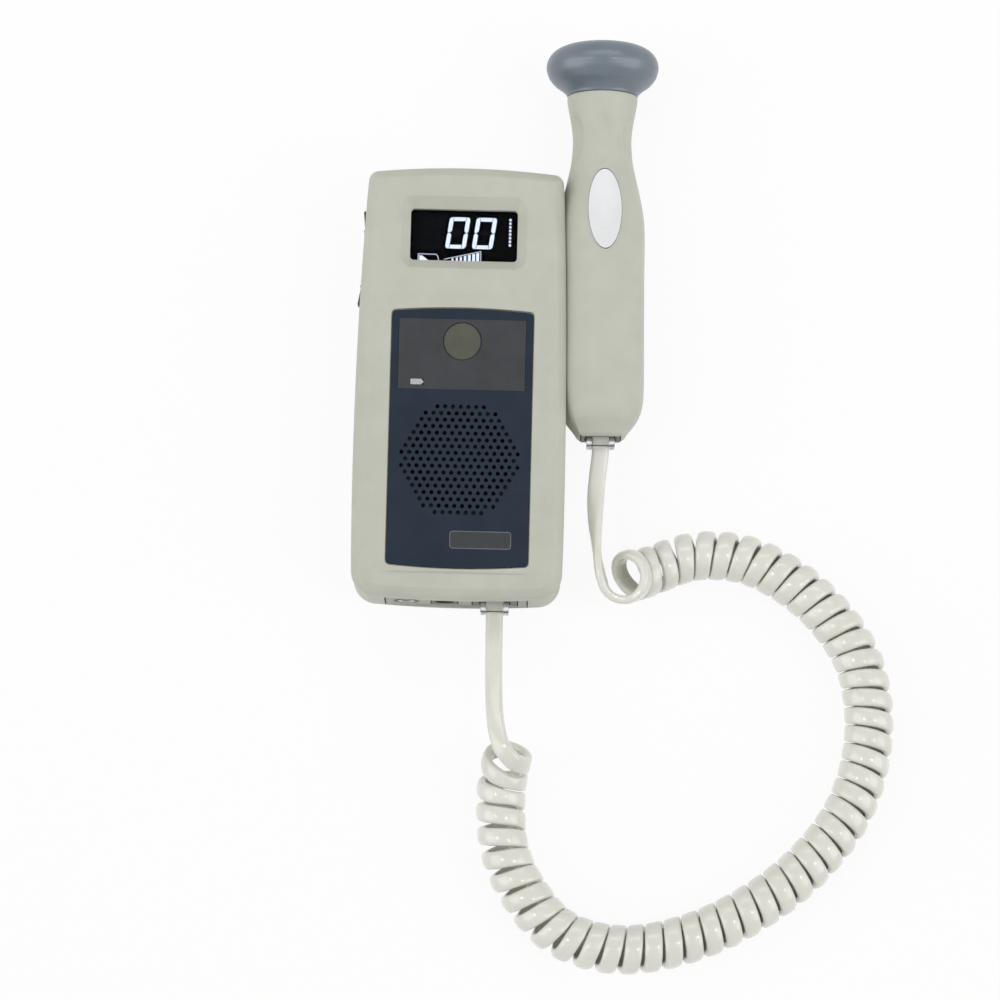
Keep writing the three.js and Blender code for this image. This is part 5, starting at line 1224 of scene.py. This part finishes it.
def rear_case():
    """The lower shell: door recess, battery bay, screw bosses, its share of the end mouth and of the dock."""
    shell = tower("rear_case", case_outline, back_levels(0))
    cut(shell, cut(case_inside(), dock_rod(DOCK_RADIUS + WALL, 64),
                   box("door_frame", -26.75, 26.75, -DOCK_REACH, 7, -1, 4.4)))
    outer = BAY_HALF + TONGUE
    bay = cut(box("bay", -outer, outer, BAY_FOOT - TONGUE, BAY_TOP + TONGUE, 2, 17.3),
              box("bay_room", -BAY_HALF, BAY_HALF, BAY_FOOT, BAY_TOP, 1, 20))
    weld(shell, bay, *at_screws([(3.7, 1.5), (3.7, 5.1)], 48))
    mouth, tongues = DOOR_HALF + PART_GAP, DOOR_HALF + TONGUE + PART_GAP
    head_room = [(3.1, -1), (3.1, 0), (2.8, 0.3), (2.8, 3.1), (1.55, 3.1), (1.55, 6.1)]
    cut(shell,
        box("door_mouth", -mouth, mouth, PAST_FOOT, DOOR_TOP + PART_GAP, -3, 2.4, 0.4),
        box("tongue_room", -tongues, tongues, PAST_FOOT, DOOR_TOP + PART_GAP, 1.1, 2.4),
        box("bay_opening", -BAY_HALF, BAY_HALF, BAY_FOOT, BAY_TOP, 0.3, 5.4),
        *at_screws(head_room, 48), end_opening(), end_flange_room(), dock_rod(DOCK_RADIUS))
    return settle(shell, "monitor", grey_shell, ["rear_shell"])


def battery_door():
    """The sliding cover: tongues along its sides and grooves for a thumb."""
    door = box("battery_door_cover", -DOOR_HALF, DOOR_HALF, PAST_FOOT, DOOR_TOP, DOOR_SINK, DOOR_INNER, 0.35)
    reach = DOOR_HALF + TONGUE
    weld(door, box("door_tongues", -reach, reach, PAST_FOOT, DOOR_TOP - 0.01, 1.4, DOOR_INNER - 0.01))
    below_seam = back_levels(DOOR_SINK)[:-3] + [(-DRAFT, 7.7)]
    combine(door, "INTERSECT", tower("door_limit", case_outline, below_seam))
    groove = box("groove", -8, 8, -0.6, 0.6, -1, 0.8, 0.28, 3)
    cut(door, row("grooves", groove, 4, (0, -1.3, 0), (0, -2.4, 0), grey_shell))
    return settle(door, "battery_door", grey_shell, ["battery_door"], angle=30)


def case_screw(name):
    """A pan-head screw, head down, with a cross recess and a rolled thread."""
    profile = [(0, 1.25), (1.7, 1.28), (2.25, 1.42), (2.5, 1.75), (2.5, 2.8), (1.05, 2.8)]
    for i in range(20):
        z = 3.2 + 0.75 * i
        profile += [(1.05, z), (0.82, z + 0.37)]
    screw = turned(name, profile + [(0.8, 18.6), (0, 19.2)], 24)
    return cut(screw, box("slot", -1.5, 1.5, -0.32, 0.32, 0.5, 2.3),
               box("cross", -0.32, 0.32, -1.5, 1.5, 0.5, 2.29))


def case_screws():
    """The screws in two pairs, one for each end of the case."""
    for name, (x, y), nodes in (
            ("case_screws_top", SCREWS[0], (1, 2)), ("case_screws_foot", SCREWS[3], (4, 3))):
        pair = row(name, case_screw(f"{name}_one"), 2, (x, y, 0), (-2 * x, 0, 0), zinc_steel)
        settle(pair, "monitor", zinc_steel, [f"case_screw_{i}" for i in nodes])


def volume_rocker():
    """A saddle-shaped key across the left flank, ribbed near both ends, on its pivot pin."""
    places = [(rise - ROCKER_HALF, grow) for rise, grow in ((0, -0.6), (0.08, -0.3), (0.3, -0.08), (0.6, 0))]
    places += [(1.5 * i, 0) for i in range(-10, 11)] + [(-y, grow) for y, grow in places[::-1]]
    rings = []
    for y, grow in places:
        share = y / (2 * ROCKER_HALF) + 0.5
        outer = 5.4 * share * (1 - share) - 0.85
        middle = ((ROCKER_DEPTH + outer) / 2, ROCKER_MIDDLE)
        rings.append([(u, y, v) for u, v in rounded(ROCKER_DEPTH - outer, 5, 0.7, middle, 4)(grow)])
    bar = skin("volume_rocker_key", rings)
    ribs = [
        row("ribs", box("rib", -0.25, 1, -0.28, 0.28, ROCKER_MIDDLE - 1.6, ROCKER_MIDDLE + 1.6, 0.2, 3), 3,
            (0.22, side * 7, 0), (-0.12, side * 1.3, 0), black_abs) for side in (-1, 1)]
    weld(bar, *ribs, on_pivot(1.8, 2.45), on_pivot(0.9, 3.8))
    return settle(on_rocker(bar), "volume_rocker", black_abs, ["volume_rocker"])


rear_case()
battery_door()
case_screws()
volume_rocker()


# Bottom end: the recessed panel and its three sockets
def lying(name, profile, x, z, sides=48, closed=False):
    """A body turned about an axis along Y, from its radii and places along Y."""
    return turn(turned(name, profile, sides, closed=closed), "X", -90, (x, 0, z))


def end_panel():
    """The recessed panel: its flange behind the mouth, and an opening for each socket."""
    face = box("end_panel_face", -END_HALF, END_HALF, END_OUTER, -71, END_FOOT, END_TOP, 0.4, 3)
    reach = END_HALF + FLANGE_REACH
    weld(face, box("end_flange", -reach, reach, END_INNER, END_INNER + FLANGE_DEPTH,
                   END_FOOT - FLANGE_REACH, END_TOP + FLANGE_REACH))
    outside, inside = END_OUTER - 2.4, END_INNER + 3.4
    gaps = [box("socket_gap", x - w, x + w, outside, inside, SOCKET_Z - h, SOCKET_Z + h, 0.4)
            for x, w, h in ((PROBE_SOCKET_X, 7.95, 6.3), (CHARGE_X, 4.8, 5.3))]
    rim = [(4.7, outside), (4.7, END_OUTER), (4.3, END_OUTER + 0.4), (4.3, inside)]
    cut(face, *gaps, lying("headphone_gap", rim, HEADPHONE_X, SOCKET_Z))
    return settle(face, "monitor", panel_grey, ["end_panel"])


def modular_socket(name, node, half_x, half_z, length, x, mouth, z, finish, docked=False):
    """A socket for a modular plug: a flared mouth, its cavity and the keyway for the plug's tongue."""
    shell = box(name, x - half_x, x + half_x, mouth, mouth + length, z - half_z, z + half_z, 0.35, 3)
    lift, depth = z + PLUG_LIFT, mouth + 9.4
    cut(shell, box("cavity", x - 5.15, x + 5.15, mouth - 1, depth, lift - 3.6, lift + 3.6),
        box("keyway", x - 2, x + 2, mouth - 1, depth - 0.01, lift - 6, lift),
        box("flare", x - 5.5, x + 5.5, mouth - 1, mouth + 0.4, lift - 3.95, lift + 3.95, 0.3))
    return settle(shell, "probe" if docked else "monitor", finish, [node], docked=docked)


def headphone_socket():
    """The jack's housing and its collar, with a plated rim round its bore."""
    x, z = HEADPHONE_X, SOCKET_Z
    housing = box("housing", x - 4.5, x + 4.5, -69.7, -61.6, z - 4.5, z + 4.5, 0.3)
    weld(housing, lying("collar", [(3.6, -73.6), (4, -73.2), (4, -69.4)], x, z))
    cut(housing, lying("bore", [(2.1, -74), (2.1, -73.2), (1.8, -73), (1.8, -62.6)], x, z))
    rim = lying("rim", [(1.82, -73), (1.82, -73.5), (2, -73.64), (2.8, -73.64), (2.95, -73.5), (2.95, -73)],
                x, z, closed=True)
    whole = merged("headphone_socket_body", painted(housing, black_abs), painted(rim, zinc_steel))
    return settle(whole, "monitor", None, ["headphone_socket"])


def charger_socket():
    """The power jack: a square housing, a deep bore and its steel centre pin."""
    x, z = CHARGE_X, SOCKET_Z
    housing = box("housing", x - 4.5, x + 4.5, END_OUTER, -60.6, z - 5, z + 5, 0.35, 3)
    cut(housing, lying("bore", [(3.6, -74), (3.6, -73.6), (3.2, -73.2), (3.2, -62.6)], x, z))
    pin = lying("pin", [(0, -72.6), (0.6, -72.55), (0.9, -72.35), (1, -72), (1, -62.4), (0, -62.4)], x, z, 32)
    whole = merged("charger_socket_body", painted(housing, black_abs), painted(pin, zinc_steel))
    return settle(whole, "monitor", None, ["charger_socket"])


def modular_plug(name, node, x, mouth, z, reach, docked=False):
    """A clear modular plug: tongue below, gold blades at its nose, the cord's flat end let in at its top, and
    a painted shadow across its tail.
    """
    nose, tail = mouth + 8.2, mouth - reach
    foot, top = z - 3.3, z + 3.3
    shell = box(name, x - 4.85, x + 4.85, tail, nose, foot, top, 0.4, 3)
    side = [(nose - 0.3, foot + 0.3), (tail + 0.9, foot - 2), (tail + 0.9, foot - 1.1),
            (nose - 2.1, foot + 0.3)]
    weld(shell, skin("tongue", [[(x + px, py, pz) for py, pz in side] for px in (-1.6, 1.6)]))
    cut(shell, box("channel", x - 3.05, x + 3.05, tail - 1, tail + 7.5, z - 1.65, top + 1, 0.4),
        box("notch", x - 5, x + 5, tail + 0.75, tail + 1.0, z + 2.4, z + 4))
    # The dark grey bar across the tail is painted shadow, where the plug's rear edge shades the cord
    bar = box("crimp_bar", x - 4.7, x + 4.7, tail + 0.3, tail + 0.62, top - 0.65, top - 0.12)
    stub = box("stub", x - 2.95, x + 2.95, tail - 0.35, tail + 7.3, z - 1.5, z + 1.55, 0.6, 3)
    first, pitch = x - 2.55, (1.02, 0, 0)
    length = [(0.001, tail + 7), (0.36, tail + 7), (0.36, nose - 1), (0.001, nose - 1)]
    wires = row("wires", turn(turned("wire", length, 12), "X", -90), 6, (first, 0, z + 0.4), pitch, conductor)
    blade = box("blade", -0.16, 0.16, nose - 3.2, nose - 0.3, z + 0.6, top - 0.05)
    blades = row("blades", blade, 6, (first, 0, 0), pitch, gold_plate)
    whole = merged(name, painted(shell, clear_plug), painted(bar, dark_grey_and_shadow), painted(stub, pvc_ivory), wires,
                   blades)
    return settle(whole, "probe" if docked else "monitor", None, [node], docked=docked)


# End panel: the same ABS as the head, greyer; the cord's conductors: their thin coloured sleeves
panel_grey = moulded_abs("satin_abs_grey", "#8f918a", "#969891", 0.35, 0.45, 0.4, 0.006, 0.3)
conductor = moulded_abs("conductor_sleeve_tan", "#a58e6a", "#b49c78", 0.35, 0.45, 0.8, 0.002)
end_panel()
modular_socket("probe_socket_body", "probe_socket", 7.65, 6, 15, PROBE_SOCKET_X, END_OUTER, SOCKET_Z,
               black_abs)
modular_socket("probe_end_socket_body", "probe_end_socket", 6.7, 5.7, 14, 0, HANDLE_FOOT, 0, dark_grey_and_shadow, True)
headphone_socket()
charger_socket()
plugs = [
    modular_plug("unit_plug_clear", "unit_plug", PROBE_SOCKET_X, END_OUTER, SOCKET_Z + PLUG_LIFT,
                 UNIT_PLUG_REACH),
    modular_plug("probe_plug_clear", "probe_plug", 0, HANDLE_FOOT, PLUG_LIFT, PROBE_PLUG_REACH, True)]


# What is inside keeps its CAD shape and gets its own finish
def solder_mask():
    """Solder mask over glass fibre: glossy green, with the copper tracks paler under it."""
    material, tree, shader, place = surface("solder_mask_green", Roughness=0.28, IOR=1.5)
    tracks = add(tree, "ShaderNodeTexVoronoi", {"Vector": place, "Scale": 1000 / 2.6},
                 distance="CHEBYCHEV", feature="F1").outputs["Distance"]
    two_tone(tree, shader, tracks, 0.38, 0.44, "#1f5c3b", "#2f7a50")
    relief(tree, shader, tracks, 0.03)
    return material


# Speaker cone: black paper pulp, matt and fibrous; magnet: fired ferrite, dull and grainy
paper_cone = moulded_abs("paper_pulp_black", "#1b1b1c", "#262627", 0.85, 0.95, 0.5, 0.03, 0.2)
ferrite = moulded_abs("fired_ferrite_grey", "#3a3b3d", "#48494b", 0.6, 0.75, 0.6, 0.01)
# Cells: glossy shrink sleeve; their contacts: nickel-plated spring strip
cell_sleeve = moulded_abs("shrink_sleeve_green", "#2f6a49", "#35724f", 0.2, 0.3, 1.5, 0.004)
nickel_strip = plated("nickel_plated_strip", "#bdb8ae", 0.22, 0.35, 0.6, 0.003)
# Crystals: ceramic with a fired silver face; their backing: epoxy loaded with metal powder
silvered_ceramic = plated("fired_silver_on_ceramic", "#d8d3c6", 0.35, 0.5, 0.4, 0.004)
loaded_epoxy = moulded_abs("loaded_epoxy_black", "#26272a", "#323337", 0.5, 0.7, 0.3, 0.006)
# Light source of the charge light: clear epoxy over a white chip carrier
led_epoxy = moulded_abs("led_epoxy_white", "#e4e4dd", "#eeeee8", 0.12, 0.2, 0.8, 0.002)
for finish, names in (
        (solder_mask(), ("main_board", "probe_board")),
        (black_abs, ("power_switch", "volume_switch_up", "volume_switch_down", "speaker_frame")),
        (paper_cone, ("speaker_cone",)), (ferrite, ("speaker_magnet",)),
        (cell_sleeve, ("battery_cell_1", "battery_cell_2", "battery_cell_3")),
        (nickel_strip, ("battery_contacts_top", "battery_contacts_foot")),
        (silvered_ceramic, ("transmit_crystal", "receive_crystal")),
        (loaded_epoxy, ("crystal_backing",)), (led_epoxy, ("charge_led",))):
    for name in names:
        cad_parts[name].material_slots[0].material = finish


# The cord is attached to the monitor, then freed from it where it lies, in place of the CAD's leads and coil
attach(cord_piece, "monitor")
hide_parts("unit_lead", "curly_cord", "probe_lead")
cord_piece.parent = None
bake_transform(cord_piece)

bpy.context.scene.view_settings.view_transform = "Standard"
